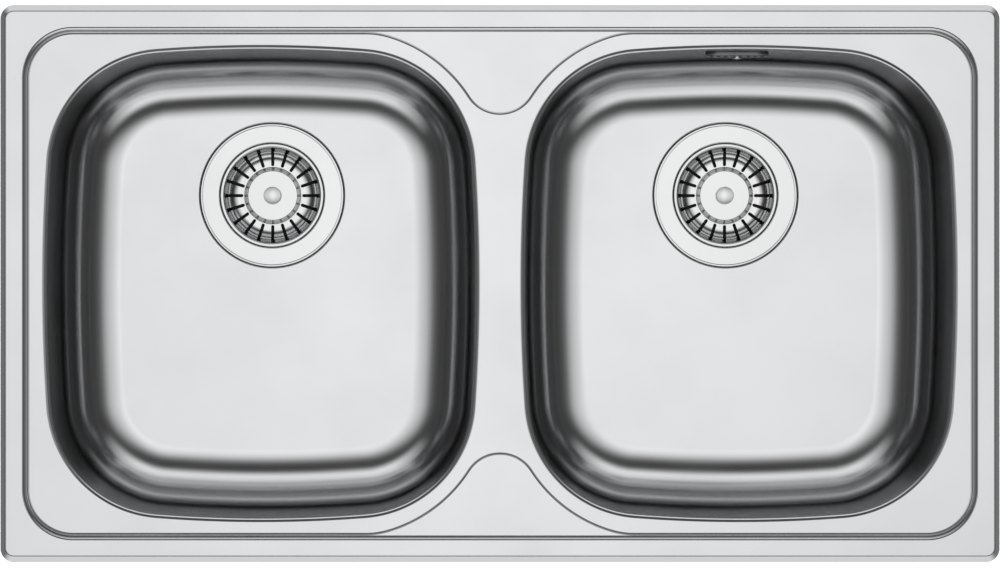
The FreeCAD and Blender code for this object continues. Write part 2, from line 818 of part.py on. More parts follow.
def make_retainer():
    return gasket_ring(post_radius, retainer_radius, stopper_z - retainer_height, retainer_height)


def cover_spans():
    """Centres of the cover's slots, left and right of its screw."""
    first = overflow_screw_head_radius + overflow_cover_slot_pitch
    places = [first + overflow_cover_slot_pitch * step for step in range(overflow_cover_slots_per_side)]
    return [-place for place in places] + places


def make_overflow_cover():
    """Slotted cover with a shallow crown, in the frame of the overflow, facing the front."""
    back = -overflow_wall_bow
    body = capsule(overflow_cover_length, overflow_cover_height, -overflow_cover_dome)
    rim_edges = [edge for edge in body.Edges
                 if all(vertex.Point.y < -overflow_cover_bend for vertex in edge.Vertexes)]
    body = body.makeFillet(overflow_cover_bend, rim_edges)
    hollow = capsule(overflow_cover_length - 2 * overflow_cover_sheet,
                     overflow_cover_height - 2 * overflow_cover_sheet,
                     overflow_cover_sheet - overflow_cover_dome)
    body = body.cut(hollow)
    post = Part.makeCylinder(overflow_screw_head_radius, overflow_cover_dome, ORIGIN, vec(0, -1))
    body = body.fuse(post)
    for place in cover_spans():
        slot = capsule(overflow_cover_slot_height, overflow_cover_slot, -overflow_cover_dome - overrun)
        slot.rotate(ORIGIN, vec(0, 1), QUARTER_TURN)
        body = body.cut(moved(slot, place, overrun / 2))
    hole = Part.makeCylinder(overflow_screw_radius + running_clearance, 4 * overflow_cover_dome,
                             vec(0, -2 * overflow_cover_dome, 0), vec(0, 1))
    return moved(body.cut(hole), 0, back)


def make_overflow_screw():
    seat = -overflow_wall_bow - overflow_cover_dome
    face = seat - overflow_screw_head_height
    head = Part.makeCylinder(overflow_screw_head_radius, overflow_screw_head_height,
                             vec(0, seat, 0), vec(0, -1))
    rim = [edge for edge in head.Edges if edge.BoundBox.YMax < face + running_clearance]
    head = head.makeFillet(overflow_screw_head_bend, rim)
    shank = Part.makeCylinder(overflow_screw_radius, overflow_screw_length, vec(0, seat, 0), vec(0, 1))
    slot = Part.makeBox(4 * overflow_screw_head_radius, overflow_screw_slot, overflow_screw_slot,
                        vec(-2 * overflow_screw_head_radius, face, -overflow_screw_slot / 2))
    return head.fuse(shank).cut(slot)


def make_overflow_gasket():
    """Rubber ring between the bowl's back wall and the housing."""
    start = sheet + running_clearance
    ring = capsule(overflow_hole_length + 2 * overflow_gasket_rim,
                   overflow_hole_height + 2 * overflow_gasket_rim, overflow_gasket_thickness)
    hole = capsule(overflow_hole_length, overflow_hole_height, overflow_gasket_thickness)
    return moved(ring.cut(hole), 0, start)


def overflow_housing_front():
    return sheet + running_clearance + overflow_gasket_thickness


def spigot_y():
    """Distance of the spigot's axis behind the bowl wall, in the overflow's frame."""
    return overflow_housing_front() + overflow_spigot_setback


def make_overflow_housing():
    """Plastic box behind the wall, open to the front, with a screw boss and a spigot below.

    It is built in the part's frame at the overflow's height, because its spigot hangs plumb.
    """
    front = overflow_housing_front()
    length = overflow_hole_length + 2 * overflow_gasket_rim
    height = overflow_hole_height + 2 * overflow_gasket_rim
    wall = overflow_housing_wall
    box = moved(capsule(length, height, overflow_housing_depth), 0, front)
    cavity = capsule(overflow_hole_length, overflow_hole_height, overflow_housing_depth - wall)
    boss = Part.makeCylinder(overflow_boss_radius, overflow_housing_depth - wall / 2,
                             vec(0, front, 0), vec(0, 1))
    box = overflow_frame(box)
    cavity = overflow_frame(moved(cavity, 0, front))
    boss = overflow_frame(boss)
    pilot = overflow_frame(Part.makeCylinder(overflow_screw_radius + running_clearance,
                                             overflow_screw_length, ORIGIN, vec(0, 1)))
    axis_y = overflow_wall_y + spigot_y()
    spigot_x = waste_x - bowl_x
    bottom = overflow_z - height / 2 - overflow_spigot_length
    spigot = cylinder(spigot_radius, bottom, overflow_z, spigot_x, axis_y)
    envelope = overflow_frame(moved(capsule(length, height, overflow_housing_depth), 0, front))
    below = Part.makeBox(length, length, 2 * overflow_spigot_length,
                         vec(-length / 2, axis_y - length / 2, bottom - overrun))
    spigot = spigot.common(below).fuse(spigot.common(envelope))
    drain = cylinder(pipe_radius - pipe_wall, bottom - overrun, overflow_z, spigot_x, axis_y)
    socket = cylinder(pipe_radius + union_clearance, bottom - overrun, bottom + pipe_entry, spigot_x, axis_y)
    housing = box.fuse(spigot).cut(cavity).cut(drain).cut(socket)
    housing = housing.fuse(boss).cut(pilot).cut(overflow_frame(drain_shield()))
    return housing.removeSplitter()


def drain_shield():
    """Space in front of the housing that has to stay free for the wall and gasket."""
    reach = overflow_hole_length * 2
    return Part.makeBox(reach, reach, reach, vec(-reach / 2, overflow_housing_front() - reach, -reach / 2))


def pipe_ends():
    """Axis points of the overflow pipe: its top, its elbow corner and its end in the waste's inlet."""
    height = overflow_hole_height + 2 * overflow_gasket_rim
    bottom = overflow_z - height / 2 - overflow_spigot_length
    axis_y = overflow_wall_y + spigot_y()
    inlet_end = waste_offset_y + waste_outer_radius + inlet_spigot_length - pipe_entry
    return (vec(waste_x, axis_y, bottom + pipe_entry), vec(waste_x, axis_y, inlet_z),
            vec(waste_x, inlet_end, inlet_z))


def make_pipe():
    """Moulded elbow pipe from the overflow housing down to the waste's inlet."""
    ends = pipe_ends()
    path = Part.Wire(rounded_line(list(ends), [pipe_bend_radius]))
    solids = []
    for radius in (pipe_radius, pipe_radius - pipe_wall):
        ring = Part.Wire(Part.makeCircle(radius, ends[0], UP))
        solids.append(path.makePipeShell([ring], True, False))
    return solids[0].cut(solids[1])


def make_union(closed):
    """Fluted nut along +Z. Its lip is at the top, and the spigot's end is at zero.

    A closed one is a blanking cap, and an open one lets the pipe through.
    """
    bottom = union_lip + union_seal_length - union_length
    top = union_lip + union_seal_length
    body = cylinder(union_radius, bottom, top)
    for step in range(union_flute_count):
        angle = 2 * math.pi * step / union_flute_count
        body = body.cut(cylinder(union_flute_radius, bottom - overrun, top + overrun,
                                 union_radius * math.cos(angle), union_radius * math.sin(angle)))
    body = body.cut(cylinder(spigot_radius + union_clearance, bottom - overrun, union_seal_length))
    if closed:
        return body
    return body.cut(cylinder(pipe_radius + union_clearance, bottom - overrun, top + overrun))


def make_union_seal(closed):
    seal = cylinder(spigot_radius, 0, union_seal_length)
    if closed:
        return seal
    return seal.cut(cylinder(pipe_radius + union_clearance, -overrun, union_seal_length + overrun))


def on_inlet(shape, x):
    """Turn a union drawn along +Z onto the end of a waste's inlet spigot."""
    placed = shape.copy()
    placed.rotate(ORIGIN, vec(1, 0), -QUARTER_TURN)
    placed.translate(vec(x, waste_offset_y + waste_outer_radius + inlet_spigot_length, inlet_z))
    return placed


def on_overflow(shape):
    """Turn a union drawn along +Z upside down onto the overflow housing's spigot."""
    top = pipe_ends()[0]
    placed = shape.copy()
    placed.rotate(ORIGIN, vec(1, 0), HALF_TURN)
    placed.translate(vec(top.x, top.y, top.z - pipe_entry))
    return placed


def make_unions():
    """Nuts and seals at both ends of the overflow pipe."""
    nut = make_union(False)
    seal = make_union_seal(False)
    nuts = Part.makeCompound([on_overflow(nut), on_inlet(nut, waste_x)])
    seals = Part.makeCompound([on_overflow(seal), on_inlet(seal, waste_x)])
    return nuts, seals


def make_blanking():
    """Cap and flat seal that close the inlet of the left waste."""
    return on_inlet(make_union(True), -waste_x), on_inlet(make_union_seal(True), -waste_x)


def make_pad():
    quarter = rounded_rectangle(pad_half_length, (pad_back_y - pad_front_y) / 2, pad_corner_radius)
    pad = outline_slab(quarter, 0, floor_z - sheet - pad_thickness, floor_z - sheet)
    return moved(pad, 0, (pad_front_y + pad_back_y) / 2)


def make_rim_seal():
    top = border_height - sheet
    outside = rounded_rectangle(half_length - seal_strip_inset, half_width - seal_strip_inset,
                                edge_crease_radius)
    return outline_slab(outside, 0, 0, top).cut(
        outline_slab(outside, -seal_strip_width, -overrun, top + overrun))


def clip_bracket():
    """Welded bracket of one clip: X points out of the cut-out, zero is the cut-out's edge."""
    top = border_height - sheet
    line = [(-bracket_inset, top), (-bracket_inset - bracket_foot, top),
            (-bracket_inset - bracket_foot, top - bracket_drop)]
    section = sheet_section(line, [0], bracket_strip)
    strip = section.extrude(vec(0, bracket_length, 0))
    strip.translate(vec(0, -bracket_length / 2, 0))
    web_x = -bracket_inset - bracket_foot
    ear_low = -clip_pin_drop - ear_height / 2
    ears = []
    for side in (-1, 1):
        face = Part.Face(Part.makePolygon([
            vec(web_x, 0, top - bracket_drop / 2), vec(web_x, 0, ear_low),
            vec(web_x - ear_reach, 0, ear_low), vec(web_x - ear_reach, 0, -clip_pin_drop + ear_height / 2),
            vec(web_x, 0, top - bracket_drop / 2)]))
        y = side * (bracket_length / 2) - (ear_strip if side > 0 else 0)
        ears.append(moved(face.extrude(vec(0, ear_strip, 0)), 0, y))
    bracket = fused([strip] + ears)
    hole = Part.makeCylinder(clip_pin_radius, bracket_length + 2 * overrun,
                             vec(-clip_pin_inset, -bracket_length / 2 - overrun, -clip_pin_drop), vec(0, 1))
    return bracket.cut(hole)


def clip_pin():
    start = -bracket_length / 2 - clip_pin_head
    pin = Part.makeCylinder(clip_pin_radius, bracket_length + 2 * clip_pin_head,
                            vec(-clip_pin_inset, start, -clip_pin_drop), vec(0, 1))
    heads = [Part.makeCylinder(clip_pin_head_radius, clip_pin_head,
                               vec(-clip_pin_inset, place, -clip_pin_drop), vec(0, 1))
             for place in (start, bracket_length / 2)]
    return fused([pin] + heads)


def clip_arm():
    """Swinging arm: an eye round the pin, a ribbed shank and a toe that reaches under the worktop."""
    eye_radius = clip_pin_radius + running_fit + arm_eye_wall
    toe_z = -worktop_thickness - arm_toe_drop
    shank_x = -clip_pin_inset - eye_radius
    line = [(-clip_pin_inset + arm_toe_reach, toe_z), (shank_x + arm_strip, toe_z),
            (shank_x + arm_strip, -clip_pin_drop)]
    shank = sheet_section(line, [arm_bend], arm_strip).extrude(vec(0, arm_width, 0))
    eye = Part.makeCylinder(eye_radius, arm_width, vec(-clip_pin_inset, 0, -clip_pin_drop), vec(0, 1))
    rib_high = -clip_pin_drop - 2 * eye_radius
    rib = Part.makeBox(arm_rib_height, arm_rib_width, rib_high - toe_z,
                       vec(shank_x + arm_strip, (arm_width - arm_rib_width) / 2, toe_z))
    arm = fused([shank, eye, rib])
    arm = arm.cut(Part.makeCylinder(clip_pin_radius + running_fit, arm_width + 2 * overrun,
                                    vec(-clip_pin_inset, -overrun, -clip_pin_drop), vec(0, 1)))
    arm.translate(vec(0, -arm_width / 2, 0))
    thread = cylinder(clip_screw_radius, toe_z - arm_toe_drop, -worktop_thickness, clip_screw_outset)
    return arm.cut(thread)


def clip_screw():
    """Clamp screw through the toe, with a pad that presses on the worktop's underside."""
    toe_z = -worktop_thickness - arm_toe_drop - arm_strip
    head_z = toe_z - clip_screw_head_gap
    screw = fused([
        cylinder(clip_screw_radius, head_z, -worktop_thickness - clip_screw_pad_height, clip_screw_outset),
        cylinder(clip_screw_pad_radius, -worktop_thickness - clip_screw_pad_height, -worktop_thickness,
                 clip_screw_outset),
        cylinder(clip_screw_head_radius, head_z - clip_screw_head_height, head_z, clip_screw_outset),
    ])
    slot_z = head_z - clip_screw_head_height / 2
    slot = Part.makeBox(4 * clip_screw_head_radius, clip_screw_slot, clip_screw_head_height,
                        vec(clip_screw_outset - 2 * clip_screw_head_radius, -clip_screw_slot / 2,
                            slot_z - clip_screw_head_height))
    return screw.cut(slot)


def clip_places():
    """Place and facing of each clip, counter-clockwise from the right side."""
    places = [(cutout_half_length, 0, 0)]
    first = -clip_spacing * (clips_along_side - 1) / 2
    along = [first + clip_spacing * step for step in range(clips_along_side)]
    places += [(x, cutout_half_width, QUARTER_TURN) for x in along[::-1]]
    places.append((-cutout_half_length, 0, HALF_TURN))
    places += [(x, -cutout_half_width, -QUARTER_TURN) for x in along]
    return places


def at_clip(shape, place):
    x, y, facing = place
    placed = shape.copy()
    placed.rotate(ORIGIN, UP, facing)
    placed.translate(vec(x, y))
    return placed


def make_all():
    parts = {"deck": make_deck(), "rim_seal": make_rim_seal()}
    cup = make_cup()
    upper = gasket_ring(waste_hole_radius, flange_crease_radius - flange_crease_bend, recess_z,
                        gasket_thickness)
    lower = gasket_ring(waste_hole_radius, waste_flange_radius, waste_top_z, lower_gasket_thickness)
    waste_pieces = {
        "strainer_cup": cup, "upper_gasket": upper, "lower_gasket": lower,
        "waste_body": make_waste_body(), "clamp_screw": make_clamp_screw(),
        "catch_bush": make_bush(), "basket": make_basket(), "knob": make_knob(),
        "basket_post": make_post(), "stopper_seal": make_stopper(), "seal_retainer": make_retainer(),
    }
    pad = make_pad()
    for name, side in (("left", -1), ("right", 1)):
        parts[name + "_bowl"] = make_bowl(side)
        parts[name + "_sound_pad"] = moved(pad, side * bowl_x, 0)
        for piece, shape in waste_pieces.items():
            parts[name + "_" + piece] = moved(shape, side * waste_x, waste_offset_y)
    parts["overflow_cover"] = moved(overflow_frame(make_overflow_cover()), bowl_x, 0)
    parts["overflow_screw"] = moved(overflow_frame(make_overflow_screw()), bowl_x, 0)
    parts["overflow_gasket"] = moved(overflow_frame(make_overflow_gasket()), bowl_x, 0)
    parts["overflow_housing"] = moved(make_overflow_housing(), bowl_x, 0)
    parts["overflow_pipe"] = make_pipe()
    parts["overflow_nuts"], parts["overflow_seals"] = make_unions()
    parts["blanking_cap"], parts["blanking_seal"] = make_blanking()
    places = clip_places()
    parts["clip_brackets"] = Part.makeCompound([at_clip(clip_bracket(), place) for place in places])
    parts["clip_pins"] = Part.makeCompound([at_clip(clip_pin(), place) for place in places])
    for number, place in enumerate(places, 1):
        parts["clip_arm_%d" % number] = at_clip(clip_arm(), place)
        parts["clip_screw_%d" % number] = at_clip(clip_screw(), place)
    return parts


os.makedirs("parts", exist_ok=True)
for name, shape in make_all().items():
    if not shape.isValid():
        print("not valid:", name)
    shape.exportStep("parts/" + name + ".step")
    print(name, len(shape.Solids), round(shape.Volume / 1000, 2), "cm3")
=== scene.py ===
"""Looks of an inset kitchen sink with two drawn bowls, basket strainers, an overflow and fixing clips.

Metres, in the sink's own frame. The origin is the centre of the worktop cut-out on the worktop's top
face, +X runs to the right, +Y to the back and +Z up.
"""

import json
import math

import bpy
import numpy as np
from bpy.props import FloatProperty, FloatVectorProperty, IntProperty, PointerProperty
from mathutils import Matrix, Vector
from mathutils.geometry import delaunay_2d_cdt


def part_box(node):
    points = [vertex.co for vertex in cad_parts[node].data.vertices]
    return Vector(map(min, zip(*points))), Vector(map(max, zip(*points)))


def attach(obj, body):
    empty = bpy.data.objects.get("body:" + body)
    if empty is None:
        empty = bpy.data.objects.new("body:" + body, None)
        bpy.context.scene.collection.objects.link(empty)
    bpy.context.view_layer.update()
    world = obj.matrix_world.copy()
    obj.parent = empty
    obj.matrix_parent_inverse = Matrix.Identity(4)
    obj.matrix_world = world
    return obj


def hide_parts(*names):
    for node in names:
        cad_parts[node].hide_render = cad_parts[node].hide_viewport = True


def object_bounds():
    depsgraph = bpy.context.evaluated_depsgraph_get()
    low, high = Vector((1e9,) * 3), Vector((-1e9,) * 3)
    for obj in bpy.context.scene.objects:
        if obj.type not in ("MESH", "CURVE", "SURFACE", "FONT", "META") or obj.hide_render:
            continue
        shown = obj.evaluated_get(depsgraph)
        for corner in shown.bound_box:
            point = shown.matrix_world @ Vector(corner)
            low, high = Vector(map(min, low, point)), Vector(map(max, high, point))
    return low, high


bl_info = {
    "name": "Inset kitchen sink",
    "version": (1, 0, 0),
    "blender": (4, 5, 0),
    "location": "3D View > Sidebar > Sink",
    "description": "Builds the visible pieces and finishes of an inset sink with two bowls",
    "category": "Object",
}

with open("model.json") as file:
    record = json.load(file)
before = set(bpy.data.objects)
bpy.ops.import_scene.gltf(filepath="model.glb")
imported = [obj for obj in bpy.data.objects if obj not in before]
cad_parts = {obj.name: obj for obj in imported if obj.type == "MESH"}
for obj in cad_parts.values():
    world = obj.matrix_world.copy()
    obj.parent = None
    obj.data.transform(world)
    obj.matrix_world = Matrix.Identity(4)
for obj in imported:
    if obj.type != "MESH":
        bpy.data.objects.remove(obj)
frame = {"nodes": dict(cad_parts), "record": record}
CAD_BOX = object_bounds()
MM = 0.001
DECK_LOW, DECK_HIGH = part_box("deck")
QUARTER = math.pi / 2

# Fineness of the meshes: points on a stretch, and turns between the points of an arc or a bend
SIDE_STEPS = 9
CORNER_STEPS = 24
BOWED_STEPS = 14
CIRCLE_STEPS = 240
KNOB_STEPS = 72
SLOT_END_STEPS = 8
SLOT_SIDE_STEPS = 12
BASKET_STEP = 1.2 * MM
BEND_TURN = math.radians(6)
STEP_TURN = math.radians(4)
ISLAND_TURN = math.radians(1.5)
TIP_TURN = math.radians(3)
BOWL_CORNER_TURN = math.radians(2)
FLOOR_TURN = math.radians(2.5)
RECESS_TURN = math.radians(15)
CUP_TURN = math.radians(9)
KNOB_TURN = math.radians(2)
SHARP_TURN = math.radians(45)
AXIS_RING = 0.02 * MM
SAME_POINT = 1e-7
WELD_REACH = 1e-6
PLAN_EPSILON = 1e-9


def length(name, description, default):
    return FloatProperty(name=name, description=description, default=default, unit="LENGTH",
                         subtype="DISTANCE")


def tilt(name, description, degrees):
    return FloatProperty(name=name, description=description, default=math.radians(degrees),
                         unit="ROTATION", subtype="ANGLE")


def colour(name, description, default):
    return FloatVectorProperty(name=name, description=description, default=default, size=3, min=0, max=1,
                               subtype="COLOR")


def share(name, description, default):
    return FloatProperty(name=name, description=description, default=default, min=0, max=1, subtype="FACTOR")


class SinkDeckSizes(bpy.types.PropertyGroup):
    """Sizes of the pressed deck."""

    sheet: length("Sheet", "Thickness of the stainless sheet", 0.8 * MM)
    corner_radius: length("Corner radius", "Radius of the deck's outer corners", 11 * MM)
    edge_height: length("Edge height", "Top of the upright band round the rim", 2.1 * MM)
    edge_gap: length("Edge gap", "Air between the band and the worktop", 0.6 * MM)
    slope_sides: length("Side slope", "Width of the sloping edge left and right", 4.4 * MM)
    slope_long: length("Long slope", "Width of the sloping edge front and back", 4.9 * MM)
    crease_radius: length("Crease radius", "Corner radius where the slope meets the border", 6.3 * MM)
    crease_bend: length("Crease bend", "Bend radius of that crease", 2.4 * MM)
    corner_inset_x: length("Corner inset X", "Centre of the pressed corners from the side", 56.9 * MM)
    corner_inset_y: length("Corner inset Y", "Centre of the pressed corners from the long edge", 57.1 * MM)
    first_radius: length("First step radius", "Corner radius of the outer pressed step", 37.85 * MM)
    first_drop: length("First step drop", "Height of the outer pressed step", 1.6 * MM)
    first_run: length("First step run", "Width of the outer pressed step", 3.75 * MM)
    second_radius: length("Second step radius", "Corner radius of the inner pressed step", 34.9 * MM)
    second_drop: length("Second step drop", "Height of the inner pressed step", 0.7 * MM)
    second_run: length("Second step run", "Width of the inner pressed step", 1.9 * MM)
    step_bend: length("Step bend", "Bend radius of the steps' creases", 0.2 * MM)
    island_radius: length("Island arc", "Radius of the arc round a bowl's corner", 112 * MM)
    island_margin: length("Island margin", "Distance of that arc from the middle", 6.8 * MM)
    island_inset: length("Island inset", "Distance of that arc from the long edge", 20.1 * MM)
    island_blend: length("Island blend", "Radius where the arc meets the step", 60 * MM)
    island_tip: length("Island tip", "Distance of the island's tip from the long edge", 84.9 * MM)


class SinkBowlSizes(bpy.types.PropertyGroup):
    """Sizes of the two drawn bowls."""

    spacing: length("Spacing", "Distance between the bowls' centres", 373.2 * MM)
    depth: length("Depth", "Depth of the floor under the field", 150 * MM)
    half_length: length("Half length", "Half the bowl along the sink", 167.4 * MM)
    half_width: length("Half width", "Half the bowl across the sink", 182.8 * MM)
    side_radius: length("Side radius", "Bow of the left and right walls", 1447 * MM)
    end_radius: length("End radius", "Bow of the front and back walls", 1047 * MM)
    corner_radius: length("Corner radius", "Radius of the bowl's corners", 90 * MM)
    draft: tilt("Draft", "Lean of the walls", 2.0)
    floor_bend: length("Floor bend", "Radius between wall and floor", 45 * MM)
    mouth_bend: length("Mouth bend", "Radius that fills the mouth's corner in the plan", 4 * MM)
    lip_reach: length("Lip reach", "Where the field starts to dip, outside the wall", 3.3 * MM)
    lip_dip: length("Lip dip", "Depth of the dipping lip at the wall", 1.2 * MM)
    lip_bend: length("Lip bend", "Radius between field and lip", 3 * MM)
    wall_bend: length("Wall bend", "Radius between lip and wall", 2.6 * MM)
    recess_radius: length("Recess radius", "Radius of the pressed recess for the waste", 58.5 * MM)
    recess_depth: length("Recess depth", "Depth of the recess", 3 * MM)
    recess_bend: length("Recess bend", "Bend at the recess's edge", 1 * MM)
    recess_foot_bend: length("Recess foot bend", "Bend at the recess's floor", 1.2 * MM)
    hole_radius: length("Hole radius", "Radius of the waste hole", 45 * MM)


class SinkStrainerSizes(bpy.types.PropertyGroup):
    """Sizes of the basket strainer wastes."""

    spacing: length("Spacing", "Distance between the wastes", 367 * MM)
    offset_y: length("Offset", "Distance of the wastes behind the middle", 71.5 * MM)
    gasket: length("Gasket", "Thickness of the gasket under the flange", 1.7 * MM)
    flange_radius: length("Flange radius", "Radius of the cup's flange", 58.1 * MM)
    flange_bend: length("Flange bend", "Bend at the flange's edge", 0.8 * MM)
    crease_radius: length("Crease radius", "Radius of the crease in the flange", 56 * MM)
    crease_run: length("Crease run", "Width of the crease", 0.5 * MM)
    crease_drop: length("Crease drop", "Fall of the flange at the crease", 0.15 * MM)
    crease_bend: length("Crease bend", "Bends of the crease", 1 * MM)
    cup_radius: length("Cup radius", "Inner radius of the cup", 42.3 * MM)
    cup_mouth_bend: length("Cup mouth bend", "Bend between flange and cup", 1.0 * MM)
    cup_depth: length("Cup depth", "Depth of the stopper's seat", 29.5 * MM)
    cup_bend: length("Cup bend", "Bend between cup wall and seat", 4 * MM)
    seat_radius: length("Seat radius", "Inner radius of the stopper's seat", 26 * MM)
    well_radius: length("Well radius", "Radius of the well under the seat", 24.4 * MM)
    well_depth: length("Well depth", "Depth of the well", 11 * MM)
    well_bend: length("Well bend", "Bend at the bottom of the well", 1.5 * MM)
    well_hole: length("Well hole", "Radius of the clamp screw's hole", 4.15 * MM)
    window_inner: length("Window inner", "Inner radius of the well's windows", 11.8 * MM)
    window_outer: length("Window outer", "Outer radius of the well's windows", 21.2 * MM)
    basket_sheet: length("Basket sheet", "Thickness of the basket's sheet", 0.7 * MM)
    lip_radius: length("Lip radius", "Outer radius of the basket's lip", 41.9 * MM)
    lip_drop: length("Lip drop", "Lip below the flange", 0.4 * MM)
    lip_edge: length("Lip edge", "Outer bend of the lip", 0.8 * MM)
    lip_bend: length("Lip bend", "Inner bend of the lip", 1.5 * MM)
    throat_radius: length("Throat radius", "Inner radius of the lip", 38.6 * MM)
    knee_radius: length("Knee radius", "Radius at the wall's knee", 38 * MM)
    knee_depth: length("Knee depth", "Depth of the knee", 6 * MM)
    knee_bend: length("Knee bend", "Bend at the knee", 12 * MM)
    foot_radius: length("Foot radius", "Radius where wall meets floor", 35 * MM)
    foot_bend: length("Foot bend", "Bend between wall and floor", 10 * MM)
    basket_depth: length("Basket depth", "Depth of the slotted floor", 16 * MM)
    riser_outer: length("Riser outer", "Outer radius of the raised middle", 23 * MM)
    riser_inner: length("Riser inner", "Inner radius of the raised middle", 20 * MM)
    riser_height: length("Riser height", "Height of the raised middle", 3 * MM)
    riser_bend: length("Riser bend", "Bends of the raised middle", 1 * MM)
    post_radius: length("Post radius", "Radius of the stem", 2.6 * MM)
    slot_count: IntProperty(name="Slots", description="Number of slots", default=20, min=3)
    slot_width: length("Slot width", "Width of a slot", 2.6 * MM)
    slot_inner: length("Slot inner", "Inner end of a slot", 23.9 * MM)
    slot_outer: length("Slot outer", "Outer end of a slot", 36.3 * MM)
    slot_clear: length("Slot clearance", "Least distance of the mesh's own points from a slot", 0.35 * MM)
    slot_rim: length("Slot rim", "Plain ring past the slots' ends", 0.3 * MM)
    knob_radius: length("Knob radius", "Radius of the knob", 7 * MM)
    knob_neck: length("Knob neck", "Radius of the knob's waist", 4.2 * MM)
    knob_cap: length("Knob cap", "Height of the knob's cap", 5 * MM)
    knob_slope: length("Knob slope", "Height of the slope under the cap", 1.4 * MM)
    crown_drop: length("Crown drop", "How far the cap falls to its edge", 0.62 * MM)
    crown_bend: length("Crown bend", "Bend of the cap's crown", 34 * MM)
    knob_edge: length("Knob edge", "Rounding of the cap's edge", 0.4 * MM)


class SinkFinishes(bpy.types.PropertyGroup):
    """Colours and gloss of the finishes."""

    steel: colour("Steel", "Colour of the stainless sheet", (0.598, 0.602, 0.61))
    steel_roughness: share("Steel roughness", "Gloss of the sheet, 0 is a mirror", 0.15)
    steel_edge: share("Steel edge", "Gloss of the sheet at grazing angles", 0.6)
    bright_steel: colour("Bright steel", "Colour of the polished strainers", (0.628, 0.63, 0.634))
    bright_roughness: share("Bright roughness", "Gloss of the strainers", 0.14)
    # Painted shade: a darkened copy of the steel colour for the overflow cover, standing for the shade under
    # the rim
    shade_painted_steel: colour("Steel with painted shade", "Colour of the overflow cover under the rim", (0.2, 0.201, 0.204))
    turned_steel: colour("Turned steel", "Colour of turned stems and screws", (0.56, 0.565, 0.57))
    zinc: colour("Zinc", "Colour of the plated clips", (0.62, 0.64, 0.63))
    plastic: colour("Plastic", "Colour of the moulded wastes and pipes", (0.82, 0.82, 0.80))
    nylon: colour("Nylon", "Colour of the catch bushes", (0.78, 0.76, 0.68))
    rubber: colour("Rubber", "Colour of gaskets and stoppers", (0.035, 0.035, 0.038))
    foam: colour("Foam", "Colour of the rim seal", (0.12, 0.12, 0.125))
    pad: colour("Pad", "Colour of the sound pads", (0.07, 0.07, 0.075))


class SinkStudio(bpy.types.PropertyGroup):
    """Camera and light."""

    camera_height: length("Camera height", "Camera above the rim", 4.0)
    view_width: length("View width", "Width of the picture at the rim", 780.2 * MM)
    view_shift: length("View shift", "Camera in front of the middle", 0.3 * MM)
    view_aside: length("View aside", "Camera to the left of the middle, with the picture kept on it", 27 * MM)
    surround_strength: FloatProperty(name="Surround", description="Strength of the studio surround",
                                     default=1.46, min=0)
    ceiling_turn: tilt("Ceiling turn", "Lean of the surround to the back", 2.0)
    floor_size: length("Floor size", "Length of the square floor", 8.0)
    floor_colour: colour("Floor", "Colour of the floor", (0.9, 0.9, 0.9))
    floor_glow: share("Floor glow", "How much of the floor's paleness is its own", 0.75)
    floor_roughness: share("Floor roughness", "Dullness of the floor", 0.9)
    lamp_power: FloatProperty(name="Lamp", description="Power of the soft lamp overhead", default=30.0,
                              unit="POWER")
    lamp_size: length("Lamp size", "Side of the lamp", 2.4)
    lamp_place: FloatVectorProperty(name="Lamp place", description="Middle of the lamp",
                                    default=(0.6, -0.8, 2.6), size=3, unit="LENGTH", subtype="TRANSLATION")


SETTINGS = {
    "sink_deck": SinkDeckSizes,
    "sink_bowls": SinkBowlSizes,
    "sink_strainers": SinkStrainerSizes,
    "sink_finishes": SinkFinishes,
    "sink_studio": SinkStudio,
}


# Outlines: rows of x, y and the outward normal
def arc_rows(x, y, radius, start, sweep, step):
    count = max(2, math.ceil(abs(sweep) / step) + 1)
    angle = np.linspace(start, start + sweep, count)
    side = 1 if sweep > 0 else -1
    c, s = np.cos(angle), np.sin(angle)
    return np.column_stack((x + radius * c, y + radius * s, side * c, side * s))


def line_rows(x0, y0, x1, y1, count):
    t = np.linspace(0, 1, count)
    along = np.array((x1 - x0, y1 - y0))
    out_x, out_y = np.array((along[1], -along[0])) / np.linalg.norm(along)
    ones = np.ones(count)
    return np.column_stack((x0 + along[0] * t, y0 + along[1] * t, ones * out_x, ones * out_y))


def whole_loop(stretches):
    """Closed loop from the right back quarter, which runs from the +X axis to the +Y axis."""
    rows = [stretches[0]] + [stretch[1:] for stretch in stretches[1:]]
    quarter = np.vstack(rows)
    left = quarter[::-1] * (-1, 1, -1, 1)
    opposite = -quarter
    front = quarter[::-1] * (1, -1, 1, -1)
    return np.vstack([part[:-1] for part in (quarter, left, opposite, front)])


def rectangle_loop(half_x, half_y, radius):
    x, y = half_x - radius, half_y - radius
    return whole_loop([
        line_rows(half_x, 0, half_x, y, SIDE_STEPS),
        arc_rows(x, y, radius, 0, QUARTER, QUARTER / CORNER_STEPS),
        line_rows(x, half_y, 0, half_y, SIDE_STEPS),
    ])


def circle_loop(count=CIRCLE_STEPS):
    """Rows at the centre whose normals point all round, so that a growth is a radius."""
    angle = np.linspace(0, 2 * math.pi, count, endpoint=False)
    zero = np.zeros(count)
    return np.column_stack((zero, zero, np.cos(angle), np.sin(angle)))


